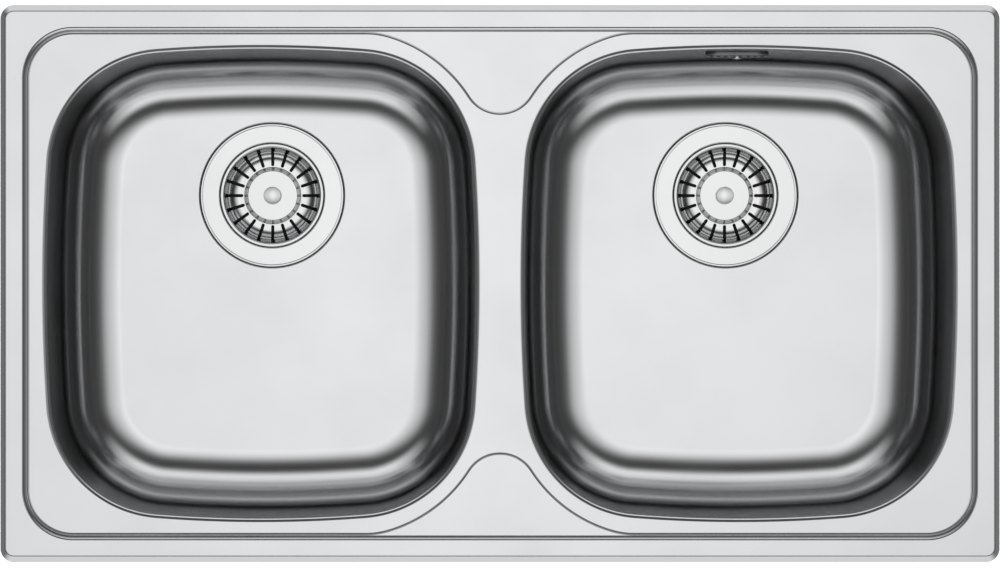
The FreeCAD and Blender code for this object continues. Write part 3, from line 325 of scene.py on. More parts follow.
def field_loop(deck):
    """Edge of the field round the bowls, with the S-curves round the two islands."""
    corner_x = DECK_HIGH.x - deck.corner_inset_x
    corner_y = DECK_HIGH.y - deck.corner_inset_y
    line_y = corner_y + deck.second_radius
    side_x = corner_x + deck.second_radius
    reach = deck.island_radius
    arc_x = reach + deck.island_margin
    arc_y = DECK_HIGH.y - deck.island_inset - reach
    blend_y = line_y - deck.island_blend
    rise = blend_y - arc_y
    blend_x = arc_x - math.sqrt((reach - deck.island_blend) ** 2 - rise ** 2)
    blend_end = math.atan2(rise, blend_x - arc_x)
    gap = DECK_HIGH.y - deck.island_tip - arc_y
    tip_radius = (arc_x ** 2 + gap ** 2 - reach ** 2) / (2 * (reach - gap))
    tip_y = arc_y + gap + tip_radius
    meet = math.atan2(tip_y - arc_y, -arc_x)
    tip_start = math.atan2(arc_y - tip_y, arc_x)
    return whole_loop([
        line_rows(side_x, 0, side_x, corner_y, SIDE_STEPS),
        arc_rows(corner_x, corner_y, deck.second_radius, 0, QUARTER, QUARTER / CORNER_STEPS),
        line_rows(corner_x, line_y, blend_x, line_y, SIDE_STEPS),
        arc_rows(blend_x, blend_y, deck.island_blend, QUARTER, blend_end - QUARTER, ISLAND_TURN),
        arc_rows(arc_x, arc_y, reach, blend_end, meet - blend_end, ISLAND_TURN),
        arc_rows(0, tip_y, tip_radius, tip_start, -QUARTER - tip_start, TIP_TURN),
    ])


def bowl_loop(bowl):
    """The bowl's wall where its slope meets the field: side arc, corner arc, end arc."""
    side_x = bowl.half_length - bowl.side_radius
    end_y = bowl.half_width - bowl.end_radius
    side_reach = bowl.side_radius - bowl.corner_radius
    end_reach = bowl.end_radius - bowl.corner_radius
    apart = math.hypot(side_x, end_y)
    along = (apart ** 2 + side_reach ** 2 - end_reach ** 2) / (2 * apart)
    across = math.sqrt(side_reach ** 2 - along ** 2)
    unit_x, unit_y = -side_x / apart, end_y / apart
    corner_x = side_x + unit_x * along - unit_y * across
    corner_y = unit_y * along + unit_x * across
    side_end = math.atan2(corner_y, corner_x - side_x)
    end_start = math.atan2(corner_y - end_y, corner_x)
    end_turn = QUARTER - end_start
    return whole_loop([
        arc_rows(side_x, 0, bowl.side_radius, 0, side_end, side_end / BOWED_STEPS),
        arc_rows(corner_x, corner_y, bowl.corner_radius, side_end, end_start - side_end, BOWL_CORNER_TURN),
        arc_rows(0, end_y, bowl.end_radius, end_start, end_turn, end_turn / BOWED_STEPS),
    ])


def bent_line(points, bends, step=BEND_TURN):
    """Profile points through corners that are rounded by their bend radii."""
    out = [points[0]]
    for before, corner, after, bend in zip(points, points[1:], points[2:], bends):
        corner = Vector(corner)
        back = (Vector(before) - corner).normalized()
        ahead = (Vector(after) - corner).normalized()
        half = back.angle(ahead) / 2
        if bend <= 0:
            out.append(tuple(corner))
            continue
        centre = corner + (back + ahead).normalized() * (bend / math.sin(half))
        first = corner + back * (bend / math.tan(half)) - centre
        turn = math.pi - 2 * half
        side = -1 if back.x * ahead.y - back.y * ahead.x > 0 else 1
        count = max(2, math.ceil(turn / step) + 1)
        for angle in np.linspace(0, turn * side, count):
            c, s = math.cos(angle), math.sin(angle)
            out.append((centre.x + first.x * c - first.y * s, centre.y + first.x * s + first.y * c))
    out.append(points[-1])
    kept = [out[0]]
    for point in out[1:]:
        if math.dist(point, kept[-1]) > SAME_POINT:
            kept.append(point)
    return kept


def inside(middles, plan, loops):
    """True for each point that lies within an odd number of the loops."""
    odd = np.zeros(len(middles), bool)
    for loop in loops:
        ring = np.array([plan[k] for k in loop])
        for (x0, y0), (x1, y1) in zip(np.roll(ring, 1, axis=0), ring):
            if y0 != y1:
                x, y = middles[:, 0], middles[:, 1]
                odd ^= ((y0 > y) != (y1 > y)) & (x < x0 + (y - y0) / (y1 - y0) * (x1 - x0))
    return odd


def filled(plan, loops):
    """Triangles between the outer loop and the holes in it, through all of the plan's points."""
    edges = [(loop[k - 1], loop[k]) for loop in loops for k in range(len(loop))]
    _, _, faces, sources, *_ = delaunay_2d_cdt(plan, edges, [], 0, PLAN_EPSILON)
    faces = [[sources[k][0] for k in face] for face in faces]
    middles = np.array([sum((plan[k] for k in face), Vector((0, 0))) / len(face) for face in faces])
    for face, kept in zip(faces, inside(middles, plan, loops)):
        a, b, c = (plan[k] for k in face)
        if kept:
            yield tuple(face if (b - a).cross(c - a) > 0 else face[::-1])


class Skin:
    """Points and faces of a sheet's visible side, built ring by ring from the outside in."""

    def __init__(self):
        self.points = []
        self.faces = []

    def ring(self, loop, grow, height, x=0.0, y=0.0):
        start = len(self.points)
        for row in loop:
            self.points.append((x + row[0] + row[2] * grow, y + row[1] + row[3] * grow, height))
        return list(range(start, len(self.points)))

    def bridge(self, outer, inner, skip=lambda index: False):
        for here in range(len(outer)):
            after = (here + 1) % len(outer)
            if not skip(here):
                self.faces.append((outer[here], outer[after], inner[after], inner[here]))

    def sweep(self, loop, profile, x=0.0, y=0.0):
        rings = [self.ring(loop, grow, height, x, y) for grow, height in profile]
        for outer, inner in zip(rings, rings[1:]):
            self.bridge(outer, inner)
        return rings[0], rings[-1]

    def plate(self, outer, holes):
        """Level face between an outline and the holes in it."""
        index, loops = [], []
        for ring in [outer] + holes:
            loops.append(range(len(index), len(index) + len(ring)))
            index += ring
        plan = [Vector(self.points[i][:2]) for i in index]
        self.faces.extend(tuple(index[k] for k in face) for face in filled(plan, loops))


def settled(obj):
    """Bake the modifiers into the mesh, mark its sharp edges and weight its normals by face size."""
    evaluated = obj.evaluated_get(bpy.context.evaluated_depsgraph_get())
    mesh = bpy.data.meshes.new_from_object(evaluated)
    obj.modifiers.clear()
    obj.data = mesh
    mesh.shade_smooth()
    mesh.set_sharp_from_angle(angle=SHARP_TURN)
    weights = obj.modifiers.new("Weighted normals", "WEIGHTED_NORMAL")
    weights.keep_sharp = True


def sheet_piece(name, skin, thickness, finish, node, body):
    """A sheet piece from its visible side, in place of a node."""
    mesh = bpy.data.meshes.new(name)
    mesh.from_pydata(skin.points, [], skin.faces)
    mesh.validate()
    obj = bpy.data.objects.new(name, mesh)
    bpy.context.scene.collection.objects.link(obj)
    merge = obj.modifiers.new("Merge", "WELD")
    merge.merge_threshold = WELD_REACH
    if thickness:
        solid = obj.modifiers.new("Sheet", "SOLIDIFY")
        solid.thickness = thickness
        solid.offset = -1
    bpy.context.view_layer.update()
    settled(obj)
    obj.data.materials.clear()
    obj.data.materials.append(finish)
    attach(obj, body)
    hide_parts(node)
    return obj


# Heights that several pieces share
def field_height(deck):
    return DECK_HIGH.z - deck.first_drop - deck.second_drop


def floor_height(deck, bowl):
    return field_height(deck) - bowl.depth


def bend_reach(bowl, bend):
    """Distance from the corner of wall and level sheet to where its bend starts."""
    return bend * math.tan((QUARTER - bowl.draft) / 2)


def mouth_foot(deck, bowl):
    reach = bend_reach(bowl, bowl.mouth_bend)
    return -reach * math.sin(bowl.draft), field_height(deck) - reach * math.cos(bowl.draft)


# Shares of run and drop at the creases of the two pressed steps
FIRST_SHARES = ((0, 0), (0.213, 0.177), (0.56, 0.58), (1, 1))
SECOND_SHARES = ((0, 0), (0.5, 0.61), (1, 1))


def step_profile(run, top, drop, shape, bend):
    """Profile of a pressed step, high on the outside and centred on its outline.

    The shape holds the shares of run and drop at its creases. The level ends past the outer and inner
    crease are as long as their bends need.
    """
    level = bend / 4
    line = [(run / 2 + level, top)]
    line += [(run / 2 - across * run, top - down * drop) for across, down in shape]
    line.append((-run / 2 - level, top - drop))
    return bent_line(line, [bend] * len(shape), STEP_TURN)


def rim_rings(skin, deck):
    """The turned edge: upright band, slope with different widths on the two sides, and crease."""
    mean = (deck.slope_sides + deck.slope_long) / 2
    top = DECK_HIGH.z
    reach = deck.crease_bend * 2
    line = [(0, deck.edge_gap), (0, deck.edge_height), (mean, top), (mean + reach, top)]
    rings = []
    for across, height in bent_line(line, [deck.crease_bend / 2, deck.crease_bend]):
        part = min(across / mean, 1)
        beyond = max(across - mean, 0)
        loop = rectangle_loop(
            DECK_HIGH.x - part * deck.slope_sides - beyond,
            DECK_HIGH.y - part * deck.slope_long - beyond,
            deck.corner_radius + part * (deck.crease_radius - deck.corner_radius) - beyond / 2,
        )
        rings.append(skin.ring(loop, 0, height))
    for outer, inner in zip(rings, rings[1:]):
        skin.bridge(outer, inner)
    return rings[-1]


def make_deck(scene, finish):
    deck, bowl = scene.sink_deck, scene.sink_bowls
    skin = Skin()
    border = rim_rings(skin, deck)
    radius = deck.first_radius
    half_x = DECK_HIGH.x - deck.corner_inset_x + radius
    half_y = DECK_HIGH.y - deck.corner_inset_y + radius
    top, ledge, field = DECK_HIGH.z, DECK_HIGH.z - deck.first_drop, field_height(deck)
    profile = step_profile(deck.first_run, top, deck.first_drop, FIRST_SHARES, deck.step_bend)
    first = skin.sweep(rectangle_loop(half_x, half_y, radius), profile)
    skin.bridge(border, first[0])
    profile = step_profile(deck.second_run, ledge, deck.second_drop, SECOND_SHARES, deck.step_bend)
    second = skin.sweep(field_loop(deck), profile)
    skin.plate(first[1], [second[0]])
    line = [
        (bend_reach(bowl, bowl.mouth_bend), field),
        (bowl.lip_reach, field),
        (0, field - bowl.lip_dip),
        mouth_foot(deck, bowl),
    ]
    lip = bent_line(line, [bowl.lip_bend, bowl.wall_bend])
    loop = bowl_loop(bowl)
    mouths = [skin.sweep(loop, lip, x)[0] for x in (-bowl.spacing / 2, bowl.spacing / 2)]
    skin.plate(second[1], mouths)
    return sheet_piece("pressed_deck", skin, deck.sheet, finish, "deck", "sink")


def make_bowl(scene, finish, side, name, node):
    deck, bowl, strainer = scene.sink_deck, scene.sink_bowls, scene.sink_strainers
    skin = Skin()
    floor = floor_height(deck, bowl)
    lean = -bowl.depth * math.tan(bowl.draft)
    foot = lean - bend_reach(bowl, bowl.floor_bend)
    centre = side * bowl.spacing / 2
    line = [mouth_foot(deck, bowl), (lean, floor), (foot, floor)]
    wall = skin.sweep(bowl_loop(bowl), bent_line(line, [bowl.floor_bend], FLOOR_TURN), centre)
    edge, low = bowl.recess_radius, floor - bowl.recess_depth
    line = [(edge + 2 * bowl.recess_bend, floor), (edge, floor), (edge, low), (bowl.hole_radius, low)]
    profile = bent_line(line, [bowl.recess_bend, bowl.recess_foot_bend], RECESS_TURN)
    recess = skin.sweep(circle_loop(), profile, side * strainer.spacing / 2, strainer.offset_y)
    skin.plate(wall[1], [recess[0]])
    return sheet_piece(name, skin, deck.sheet, finish, node, "sink")


def flange_height(deck, bowl, strainer):
    return floor_height(deck, bowl) - bowl.recess_depth + strainer.gasket + deck.sheet


# Windows in the well's floor, and half the bridge between two of them in points of the circle
WINDOW_COUNT = 4
HALF_BRIDGE = CIRCLE_STEPS // 34


def make_cup(scene, finish, side, name, node):
    deck, bowl, strainer = scene.sink_deck, scene.sink_bowls, scene.sink_strainers
    x, y = side * strainer.spacing / 2, strainer.offset_y
    top = flange_height(deck, bowl, strainer)
    low = top - strainer.crease_drop
    seat = top - strainer.cup_depth
    well = seat - strainer.well_depth
    skin = Skin()
    loop = circle_loop()
    line = [
        (strainer.flange_radius, low - strainer.flange_bend - deck.sheet),
        (strainer.flange_radius, low),
        (strainer.crease_radius + strainer.crease_run, low),
        (strainer.crease_radius, top),
        (strainer.cup_radius, top),
        (strainer.cup_radius, seat),
        (strainer.seat_radius, seat),
        (strainer.well_radius, seat - strainer.seat_radius + strainer.well_radius),
        (strainer.well_radius, well),
        (strainer.window_outer, well),
    ]
    bends = [strainer.flange_bend, strainer.crease_bend, strainer.crease_bend, strainer.cup_mouth_bend,
             strainer.cup_bend, 0, 0, strainer.well_bend]
    wall = skin.sweep(loop, bent_line(line, bends, CUP_TURN), x, y)
    inner = skin.ring(loop, strainer.window_inner, well, x, y)
    hub = skin.ring(loop, strainer.well_hole, well, x, y)
    pitch = len(loop) // WINDOW_COUNT

    def window(index):
        return HALF_BRIDGE <= index % pitch < pitch - HALF_BRIDGE

    skin.bridge(wall[1], inner, window)
    skin.bridge(inner, hub)
    return sheet_piece(name, skin, deck.sheet, finish, node, "sink")


def capsule_rows(inner, outer, width, angle):
    """Plan outline of one slot: straight sides and round ends."""
    half = width / 2
    turn = np.linspace(-QUARTER, QUARTER, SLOT_END_STEPS)
    far = np.column_stack((outer - half + half * np.cos(turn), half * np.sin(turn)))
    near = np.column_stack((inner + half - half * np.cos(turn), -half * np.sin(turn)))
    sides = np.linspace(outer - half, inner + half, SLOT_SIDE_STEPS)[1:-1]
    top = np.column_stack((sides, np.full(len(sides), half)))
    low = np.column_stack((sides[::-1], np.full(len(sides), -half)))
    rows = np.vstack((far, top, near, low))
    c, s = math.cos(angle), math.sin(angle)
    return np.column_stack((rows[:, 0] * c - rows[:, 1] * s, rows[:, 0] * s + rows[:, 1] * c))


def in_slot(x, y, strainer, margin):
    """True where a plan point lies in a slot, or nearer to it than the margin."""
    pitch = 2 * math.pi / strainer.slot_count
    angle = math.atan2(y, x)
    angle -= round(angle / pitch) * pitch
    radius = math.hypot(x, y)
    along, across = radius * math.cos(angle), radius * math.sin(angle)
    half = strainer.slot_width / 2
    near = min(max(along, strainer.slot_inner + half), strainer.slot_outer - half)
    return math.hypot(along - near, across) < half + margin


def slotted_ring(skin, loop, profile, strainer, x, y):
    """Wall and floor of the basket between two radii, with its slots left open."""
    plan, loops = [], []

    def closed(rows):
        loops.append(range(len(plan), len(plan) + len(rows)))
        plan.extend(Vector(row) for row in rows)

    directions = loop[:, 2:]
    closed(directions * profile[0][0])
    closed(directions * profile[-1][0])
    pitch = 2 * math.pi / strainer.slot_count
    for step in range(strainer.slot_count):
        closed(capsule_rows(strainer.slot_inner, strainer.slot_outer, strainer.slot_width, step * pitch))
    for radius, _ in profile[1:-1]:
        for point in directions * radius:
            if not in_slot(*point, strainer, strainer.slot_clear):
                plan.append(Vector(point))
    start = len(skin.points)
    inward = sorted(profile)
    radii, heights = zip(*inward)
    for point in plan:
        skin.points.append((x + point.x, y + point.y, float(np.interp(point.length, radii, heights))))
    skin.faces.extend(tuple(start + k for k in face) for face in filled(plan, loops))


def divided(profile, step):
    """The same profile with no two points further apart than the step."""
    out = [profile[0]]
    for (x0, y0), (x1, y1) in zip(profile, profile[1:]):
        count = max(1, math.ceil(math.hypot(x1 - x0, y1 - y0) / step))
        out += [(x0 + (x1 - x0) * k / count, y0 + (y1 - y0) * k / count) for k in range(1, count + 1)]
    return out


def make_basket(scene, finish, side, name, node):
    deck, bowl, strainer = scene.sink_deck, scene.sink_bowls, scene.sink_strainers
    x, y = side * strainer.spacing / 2, strainer.offset_y
    lip = flange_height(deck, bowl, strainer) - strainer.lip_drop
    floor = lip - strainer.basket_depth
    hat = floor + strainer.riser_height
    line = [
        (strainer.lip_radius, lip - strainer.lip_edge - strainer.basket_sheet),
        (strainer.lip_radius, lip),
        (strainer.throat_radius, lip),
        (strainer.knee_radius, lip - strainer.knee_depth),
        (strainer.foot_radius, floor),
        (strainer.riser_outer, floor),
        (strainer.riser_inner, hat),
        (strainer.post_radius, hat),
    ]
    bends = [strainer.lip_edge, strainer.lip_bend, strainer.knee_bend, strainer.foot_bend,
             strainer.riser_bend, strainer.riser_bend]
    profile = divided(bent_line(line, bends), BASKET_STEP)
    outer = strainer.slot_outer + strainer.slot_rim
    inner = strainer.slot_inner - strainer.slot_rim
    first = max(k for k, point in enumerate(profile) if point[0] > outer)
    last = min(k for k, point in enumerate(profile) if point[0] < inner)
    skin = Skin()
    loop = circle_loop()
    skin.sweep(loop, profile[:first + 1], x, y)
    slotted_ring(skin, loop, profile[first:last + 1], strainer, x, y)
    skin.sweep(loop, profile[last:], x, y)
    return sheet_piece(name, skin, strainer.basket_sheet, finish, node, side_body(side))


def side_word(side):
    return "left" if side < 0 else "right"


def side_body(side):
    return side_word(side) + "_strainer"


def make_knob(scene, finish, side, name, node):
    strainer = scene.sink_strainers
    x, y = side * strainer.spacing / 2, strainer.offset_y
    low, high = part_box(node)
    cap_low = high.z - strainer.knob_cap
    line = [
        (AXIS_RING, high.z),
        (strainer.knob_radius / 2, high.z),
        (strainer.knob_radius, high.z - strainer.crown_drop),
        (strainer.knob_radius, cap_low),
        (strainer.knob_neck, cap_low - strainer.knob_slope),
        (strainer.knob_neck, low.z),
        (AXIS_RING, low.z),
    ]
    bends = [strainer.crown_bend, strainer.knob_edge, 0, 0, 0]
    skin = Skin()
    profile = bent_line(line, bends, KNOB_TURN)
    outer, inner = skin.sweep(circle_loop(KNOB_STEPS), profile[::-1], x, y)
    skin.faces.append(tuple(outer[::-1]))
    skin.faces.append(tuple(inner))
    return sheet_piece(name, skin, 0, finish, node, side_body(side))


# Finishes
FLOAT, COLOUR = "NodeSocketFloat", "NodeSocketColor"
DULL_STEEL = (0.55, 0.56, 0.57, 1)
GRAIN_DEPTH = 0.02 * MM
PEBBLE_DEPTH = 0.1 * MM
FINISHES = {}


class Wires:
    """One node tree, with short ways to add its nodes and join them."""

    def __init__(self, tree):
        self.tree = tree

    def node(self, kind):
        return self.tree.nodes.new("ShaderNode" + kind)

    def feed(self, value, socket):
        """Join an output to a socket, or give the socket a value."""
        if hasattr(value, "is_linked"):
            self.tree.links.new(value, socket)
        else:
            socket.default_value = value

    def math(self, operation, *values):
        node = self.node("Math")
        node.operation = operation
        for value, socket in zip(values, node.inputs):
            self.feed(value, socket)
        return node.outputs[0]

    def range(self, value, given, wanted):
        node = self.node("MapRange")
        for word, (low, high) in (("From", given), ("To", wanted)):
            node.inputs[word + " Min"].default_value = low
            node.inputs[word + " Max"].default_value = high
        self.feed(value, node.inputs["Value"])
        return node.outputs["Result"]

    def noise(self, vector, scale, detail, roughness):
        node = self.node("TexNoise")
        self.feed(vector, node.inputs["Vector"])
        self.feed(scale, node.inputs["Scale"])
        node.inputs["Detail"].default_value = detail
        node.inputs["Roughness"].default_value = roughness
        return node.outputs["Fac"]

    def mix(self, factor, first, second):
        node = self.node("Mix")
        node.data_type = "RGBA"
        for word, value in (("Factor", factor), ("A", first), ("B", second)):
            self.feed(value, node.inputs[word])
        return node.outputs["Result"]

    def ramp(self, factor, stops):
        """Grey ramp over degrees, whose factor is in half turns."""
        node = self.node("ValToRGB")
        self.feed(factor, node.inputs["Fac"])
        elements = node.color_ramp.elements
        while len(elements) > 1:
            elements.remove(elements[-1])
        for count, (degrees, value) in enumerate(stops):
            element = elements.new(degrees / 180) if count else elements[0]
            element.position = degrees / 180
            element.color = (value, value, value, 1)
        return node.outputs["Color"]

    def slant(self, across, up):
        """Slant of a direction from the zenith towards one axis, in half turns."""
        angle = self.math("ARCTAN2", self.math("ABSOLUTE", across), up)
        return self.math("DIVIDE", angle, math.pi)


def new_group(name, inputs, outputs):
    tree = bpy.data.node_groups.new(name, "ShaderNodeTree")
    for label, kind, default in inputs:
        socket = tree.interface.new_socket(name=label, in_out="INPUT", socket_type=kind)
        socket.default_value = default
    for label, kind in outputs:
        tree.interface.new_socket(name=label, in_out="OUTPUT", socket_type=kind)
    given = tree.nodes.new("NodeGroupInput").outputs
    wanted = tree.nodes.new("NodeGroupOutput").inputs
    return tree, Wires(tree), given, wanted


def steel_surface_group():
    """Fine satin grain, faint water marks and slow waves of a rolled and pressed sheet."""
    tree, wires, given, wanted = new_group(
        "Steel surface",
        [("Colour", COLOUR, (0.8, 0.8, 0.8, 1)), ("Roughness", FLOAT, 0.2), ("Marks", FLOAT, 1.0)],
        [("Colour", COLOUR), ("Roughness", FLOAT), ("Height", FLOAT)])
    place = wires.node("TexCoord").outputs["Object"]
    stretch = wires.node("Mapping")
    stretch.inputs["Scale"].default_value = (1, 14, 14)
    wires.feed(place, stretch.inputs["Vector"])
    grain = wires.noise(stretch.outputs["Vector"], scale=900, detail=2, roughness=0.6)
    cloud = wires.noise(place, scale=9, detail=4, roughness=0.6)
    fleck = wires.noise(place, scale=60, detail=3, roughness=0.6)
    wave = wires.noise(place, scale=5, detail=1, roughness=0.4)
    marks = wires.math("MULTIPLY", wires.range(cloud, (0.35, 0.7), (0, 1)), given["Marks"])
    rough = wires.math("ADD", wires.math("MULTIPLY", marks, 0.05), given["Roughness"])
    rough = wires.math("ADD", rough, wires.range(grain, (0, 1), (-0.02, 0.02)))
    wires.feed(rough, wanted["Roughness"])
    dim = wires.range(fleck, (0.3, 0.8), (0, 0.05))
    dim = wires.math("ADD", dim, wires.math("MULTIPLY", marks, 0.03))
    wires.feed(wires.mix(dim, given["Colour"], DULL_STEEL), wanted["Colour"])
    height = wires.math("MULTIPLY", grain, 0.06)
    height = wires.math("ADD", height, wires.math("MULTIPLY", wave, 1.2))
    wires.feed(height, wanted["Height"])
    return tree


def moulded_surface_group():
    """Fine pebble and dull patches of moulded plastic and rubber."""
    tree, wires, given, wanted = new_group(
        "Moulded surface",
        [("Colour", COLOUR, (0.8, 0.8, 0.8, 1)), ("Dust", COLOUR, (0.6, 0.6, 0.6, 1)),
         ("Roughness", FLOAT, 0.5), ("Scale", FLOAT, 400.0)],
        [("Colour", COLOUR), ("Roughness", FLOAT), ("Height", FLOAT)])
    place = wires.node("TexCoord").outputs["Object"]
    pebble = wires.noise(place, given["Scale"], detail=2, roughness=0.5)
    cloud = wires.noise(place, scale=30, detail=4, roughness=0.6)
    rough = wires.math("ADD", given["Roughness"], wires.range(cloud, (0.3, 0.7), (-0.06, 0.08)))
    wires.feed(rough, wanted["Roughness"])
    dust = wires.range(cloud, (0.45, 0.8), (0, 0.22))
    wires.feed(wires.mix(dust, given["Colour"], given["Dust"]), wanted["Colour"])
    wires.feed(pebble, wanted["Height"])
    return tree


def new_material(name):
    material = bpy.data.materials.new(name)
    material.use_nodes = True
    material.node_tree.nodes.clear()
    wires = Wires(material.node_tree)
    out = wires.node("OutputMaterial")
    shader = wires.node("BsdfPrincipled")
    wires.feed(shader.outputs["BSDF"], out.inputs["Surface"])
    return material, wires, shader.inputs


def surfaced(name, tree, values, bump, depth):
    """Material whose colour, roughness and bump come from a surface group with its own values."""
    material, wires, shader = new_material(name)
    group = wires.node("Group")
    group.node_tree = tree
    for word, value in values.items():
        group.inputs[word].default_value = value
    wires.feed(group.outputs["Colour"], shader["Base Color"])
    wires.feed(group.outputs["Roughness"], shader["Roughness"])
    relief = wires.node("Bump")
    relief.inputs["Strength"].default_value = bump
    relief.inputs["Distance"].default_value = depth
    wires.feed(group.outputs["Height"], relief.inputs["Height"])
    wires.feed(relief.outputs["Normal"], shader["Normal"])
    return material, shader


def make_finishes(scene):
    look = scene.sink_finishes
    tree = steel_surface_group()
    for slot, name, tint, roughness, marks, bump, edge in (
        ("satin_steel", "Satin stainless sheet", look.steel, look.steel_roughness, 1, 0.25, look.steel_edge),
        ("bright_steel", "Polished stainless", look.bright_steel, look.bright_roughness, 0.6, 0.15, 1),
        ("turned_steel", "Turned stainless", look.turned_steel, 0.28, 0.6, 0.4, 1),
        # Painted shade: the overflow cover's steel, darkened for the shade under the rim
        ("shade_painted_steel", "Stainless with painted shade", look.shade_painted_steel, 0.3, 1.0, 0.25, 1),
        ("zinc_steel", "Zinc plated steel", look.zinc, 0.38, 1.6, 0.6, 1),
    ):
        values = {"Colour": (*tint, 1), "Roughness": roughness, "Marks": marks}
        FINISHES[slot], shader = surfaced(name, tree, values, bump, GRAIN_DEPTH)
        shader["Metallic"].default_value = 1.0
        shader["Specular Tint"].default_value = (edge, edge, edge, 1)
    tree = moulded_surface_group()
    for slot, name, tint, dust, roughness, scale, bump, specular in (
        ("white_plastic", "Moulded polypropylene", look.plastic, (0.62, 0.61, 0.58), 0.42, 700, 0.15, 0.5),
        ("nylon", "Moulded nylon", look.nylon, (0.6, 0.58, 0.5), 0.4, 900, 0.15, 0.5),
        ("black_rubber", "Moulded rubber", look.rubber, (0.09, 0.09, 0.09), 0.55, 600, 0.3, 0.35),
        ("foam_seal", "Foam strip", look.foam, (0.2, 0.2, 0.2), 0.85, 1500, 0.9, 0.2),
        ("sound_pad", "Damping pad", look.pad, (0.14, 0.14, 0.14), 0.7, 260, 0.9, 0.3),
    ):
        values = {"Colour": (*tint, 1), "Dust": (*dust, 1), "Roughness": roughness, "Scale": scale}
        FINISHES[slot], shader = surfaced(name, tree, values, bump, PEBBLE_DEPTH)
        shader["Specular IOR Level"].default_value = specular


def dress_all_nodes():
    """Give every node of the part its finish."""
    for row in frame["record"]["subparts"]:
        # The overflow cover takes the darkened steel, painted shade for the shade under the rim, in place of
        # its slot's finish
        slot = "shade_painted_steel" if row["node"] == "overflow_cover" else row["material_slot"]
        for place in frame["nodes"][row["node"]].material_slots:
            place.link = "OBJECT"
            place.material = FINISHES[slot]


# Brightness of the surround, as degrees from the zenith and values between them
CEILING_ALONG = ((0, 1.0), (2.5, 0.93), (6, 0.84), (10, 0.74), (17, 0.64), (25, 0.52), (33, 0.31),
                 (37, 0.17), (41, 0.09), (48, 0.03), (58, 0))
CEILING_ACROSS = ((0, 1.0), (3, 0.95), (7, 0.87), (13, 0.66), (18, 0.38), (23, 0.15), (28, 0.03), (34, 0))
PANELS = ((0, 0), (37, 0), (43, 0.12), (48, 0.5), (53, 0.86), (57, 0.84), (62, 0.71), (70, 0.69),
          (78, 0.74), (92, 0.64), (96, 0.35))
SIDES = ((0, 0.04), (60, 0.045), (74, 0.08), (82, 0.2), (92, 0.22))
# How much of a level direction points front or back where the panels fade in, as squares
PANEL_FADE = (0.2, 0.8)


def make_world(scene):
    """Studio surround: a long ceiling panel, tall panels front and back, and dim sides."""
    studio = scene.sink_studio
    world = bpy.data.worlds.new("Studio surround")
    scene.world = world
    world.use_nodes = True
    world.node_tree.nodes.clear()
    wires = Wires(world.node_tree)
    out = wires.node("OutputWorld")
    light = wires.node("Background")
    wires.feed(light.outputs["Background"], out.inputs["Surface"])
    turn = wires.node("Mapping")
    turn.inputs["Rotation"].default_value = (studio.ceiling_turn, 0, 0)
    wires.feed(wires.node("TexCoord").outputs["Generated"], turn.inputs["Vector"])
    split = wires.node("SeparateXYZ")
    wires.feed(turn.outputs["Vector"], split.inputs["Vector"])
    x, y, z = (split.outputs[axis] for axis in "XYZ")
    along = wires.ramp(wires.slant(x, z), CEILING_ALONG)
    across = wires.ramp(wires.slant(y, z), CEILING_ACROSS)
    ceiling = wires.math("MULTIPLY", along, across)
    angle = wires.math("DIVIDE", wires.math("ARCCOSINE", z), math.pi)
    panels, sides = wires.ramp(angle, PANELS), wires.ramp(angle, SIDES)
    along_x, along_y = wires.math("MULTIPLY", x, x), wires.math("MULTIPLY", y, y)
    level = wires.math("ADD", wires.math("ADD", along_x, along_y), 1e-6)
    facing = wires.range(wires.math("DIVIDE", along_y, level), PANEL_FADE, (0, 1))
    panels = wires.math("MULTIPLY", panels, facing)
    glow = wires.math("ADD", wires.math("MAXIMUM", panels, sides), ceiling)
    wires.feed(glow, light.inputs["Color"])
    light.inputs["Strength"].default_value = studio.surround_strength


def make_floor(scene):
    """Pale floor that shows its own colour to the camera and in the steel, and keeps the sink's shadow."""
    studio = scene.sink_studio
    low, size = CAD_BOX[0].z, studio.floor_size / 2
    corners = [(-size, -size, low), (size, -size, low), (size, size, low), (-size, size, low)]
    mesh = bpy.data.meshes.new("studio_floor")
    mesh.from_pydata(corners, [], [(0, 1, 2, 3)])
    floor = bpy.data.objects.new("studio_floor", mesh)
    scene.collection.objects.link(floor)
    material, wires, shader = new_material("Studio floor")
    colour = (*studio.floor_colour, 1)
    shader["Base Color"].default_value = colour
    shader["Roughness"].default_value = studio.floor_roughness
    shader["Emission Color"].default_value = colour
    rays = wires.node("LightPath").outputs
    seen = wires.math("MAXIMUM", rays["Is Camera Ray"], rays["Is Glossy Ray"])
    seen = wires.math("MAXIMUM", seen, rays["Is Transmission Ray"])
    wires.feed(wires.math("MULTIPLY", seen, studio.floor_glow), shader["Emission Strength"])
    mesh.materials.append(material)


def make_lamp(scene):
    studio = scene.sink_studio
    lamp = bpy.data.lights.new("Overhead softbox", "AREA")
    lamp.shape = "SQUARE"
    lamp.size = studio.lamp_size
    lamp.energy = studio.lamp_power
    obj = bpy.data.objects.new("Overhead softbox", lamp)
    obj.location = studio.lamp_place
    obj.rotation_euler = Vector(obj.location).to_track_quat("Z", "Y").to_euler()
    obj.visible_glossy = False
    scene.collection.objects.link(obj)


def make_camera(scene):
    studio = scene.sink_studio
    lens = bpy.data.cameras.new("Plan camera")
    lens.sensor_width = 36.0
    lens.lens = lens.sensor_width * studio.camera_height / studio.view_width
    lens.shift_x = studio.view_aside / studio.view_width
    lens.clip_end = 50.0
    camera = bpy.data.objects.new("Plan camera", lens)
    height = scene.sink_deck.edge_height + studio.camera_height
    camera.location = (-studio.view_aside, -studio.view_shift, height)
    scene.collection.objects.link(camera)
    scene.camera = camera


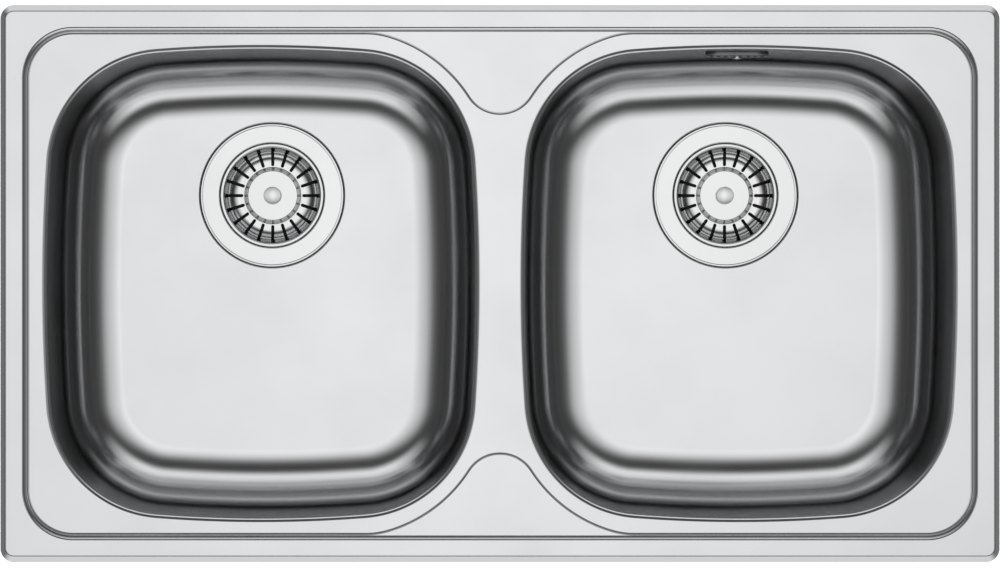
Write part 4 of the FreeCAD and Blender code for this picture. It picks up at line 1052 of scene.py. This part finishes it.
# Operators, one for each piece or group of like pieces
class SINK_OT_finishes(bpy.types.Operator):
    """Make the finishes and give them to every part that is shown as it was packed"""

    bl_idname = "sink.make_finishes"
    bl_label = "Finishes"

    def execute(self, context):
        make_finishes(context.scene)
        dress_all_nodes()
        return {"FINISHED"}


class SINK_OT_deck(bpy.types.Operator):
    """Press the deck: turned edge, border, two steps, two islands and the bowls' mouths"""

    bl_idname = "sink.make_deck"
    bl_label = "Deck"

    def execute(self, context):
        make_deck(context.scene, FINISHES["satin_steel"])
        return {"FINISHED"}


class SINK_OT_bowls(bpy.types.Operator):
    """Draw the two bowls with their recesses for the wastes"""

    bl_idname = "sink.make_bowls"
    bl_label = "Bowls"

    def execute(self, context):
        for side in (-1, 1):
            word = side_word(side)
            make_bowl(context.scene, FINISHES["satin_steel"], side, word + "_drawn_bowl", word + "_bowl")
        return {"FINISHED"}


class SINK_OT_strainers(bpy.types.Operator):
    """Make the strainer cups, the slotted baskets and their knobs"""

    bl_idname = "sink.make_strainers"
    bl_label = "Strainers"

    def execute(self, context):
        bright = FINISHES["bright_steel"]
        for side in (-1, 1):
            word = side_word(side)
            make_cup(context.scene, bright, side, word + "_pressed_cup", word + "_strainer_cup")
            make_basket(context.scene, bright, side, word + "_slotted_basket", word + "_basket")
            make_knob(context.scene, bright, side, word + "_domed_knob", word + "_knob")
        return {"FINISHED"}


class SINK_OT_stage(bpy.types.Operator):
    """Set up the floor, the surround, the lamp and the plan camera"""

    bl_idname = "sink.make_stage"
    bl_label = "Stage"

    def execute(self, context):
        make_world(context.scene)
        make_floor(context.scene)
        make_lamp(context.scene)
        make_camera(context.scene)
        return {"FINISHED"}


class SINK_PT_panel(bpy.types.Panel):
    """Sidebar panel that lists the steps"""

    bl_idname = "SINK_PT_panel"
    bl_label = "Inset sink"
    bl_space_type = "VIEW_3D"
    bl_region_type = "UI"
    bl_category = "Sink"

    def draw(self, context):
        for operator in OPERATORS:
            self.layout.operator(operator.bl_idname)
        for name, group in SETTINGS.items():
            box = self.layout.box()
            box.label(text=group.__doc__)
            settings = getattr(context.scene, name)
            for key in group.__annotations__:
                box.prop(settings, key)


OPERATORS = (SINK_OT_finishes, SINK_OT_deck, SINK_OT_bowls, SINK_OT_strainers, SINK_OT_stage)


def register():
    for name, group in SETTINGS.items():
        bpy.utils.register_class(group)
        setattr(bpy.types.Scene, name, PointerProperty(type=group))
    for cls in OPERATORS + (SINK_PT_panel,):
        bpy.utils.register_class(cls)


def unregister():
    for cls in reversed(OPERATORS + (SINK_PT_panel,)):
        bpy.utils.unregister_class(cls)
    for name, group in reversed(SETTINGS.items()):
        delattr(bpy.types.Scene, name)
        bpy.utils.unregister_class(group)


def main():
    register()
    bpy.context.scene.view_settings.view_transform = "Standard"
    bpy.ops.sink.make_finishes()
    bpy.ops.sink.make_deck()
    bpy.ops.sink.make_bowls()
    bpy.ops.sink.make_strainers()
    bpy.ops.sink.make_stage()


if __name__ == "__main__":
    main()
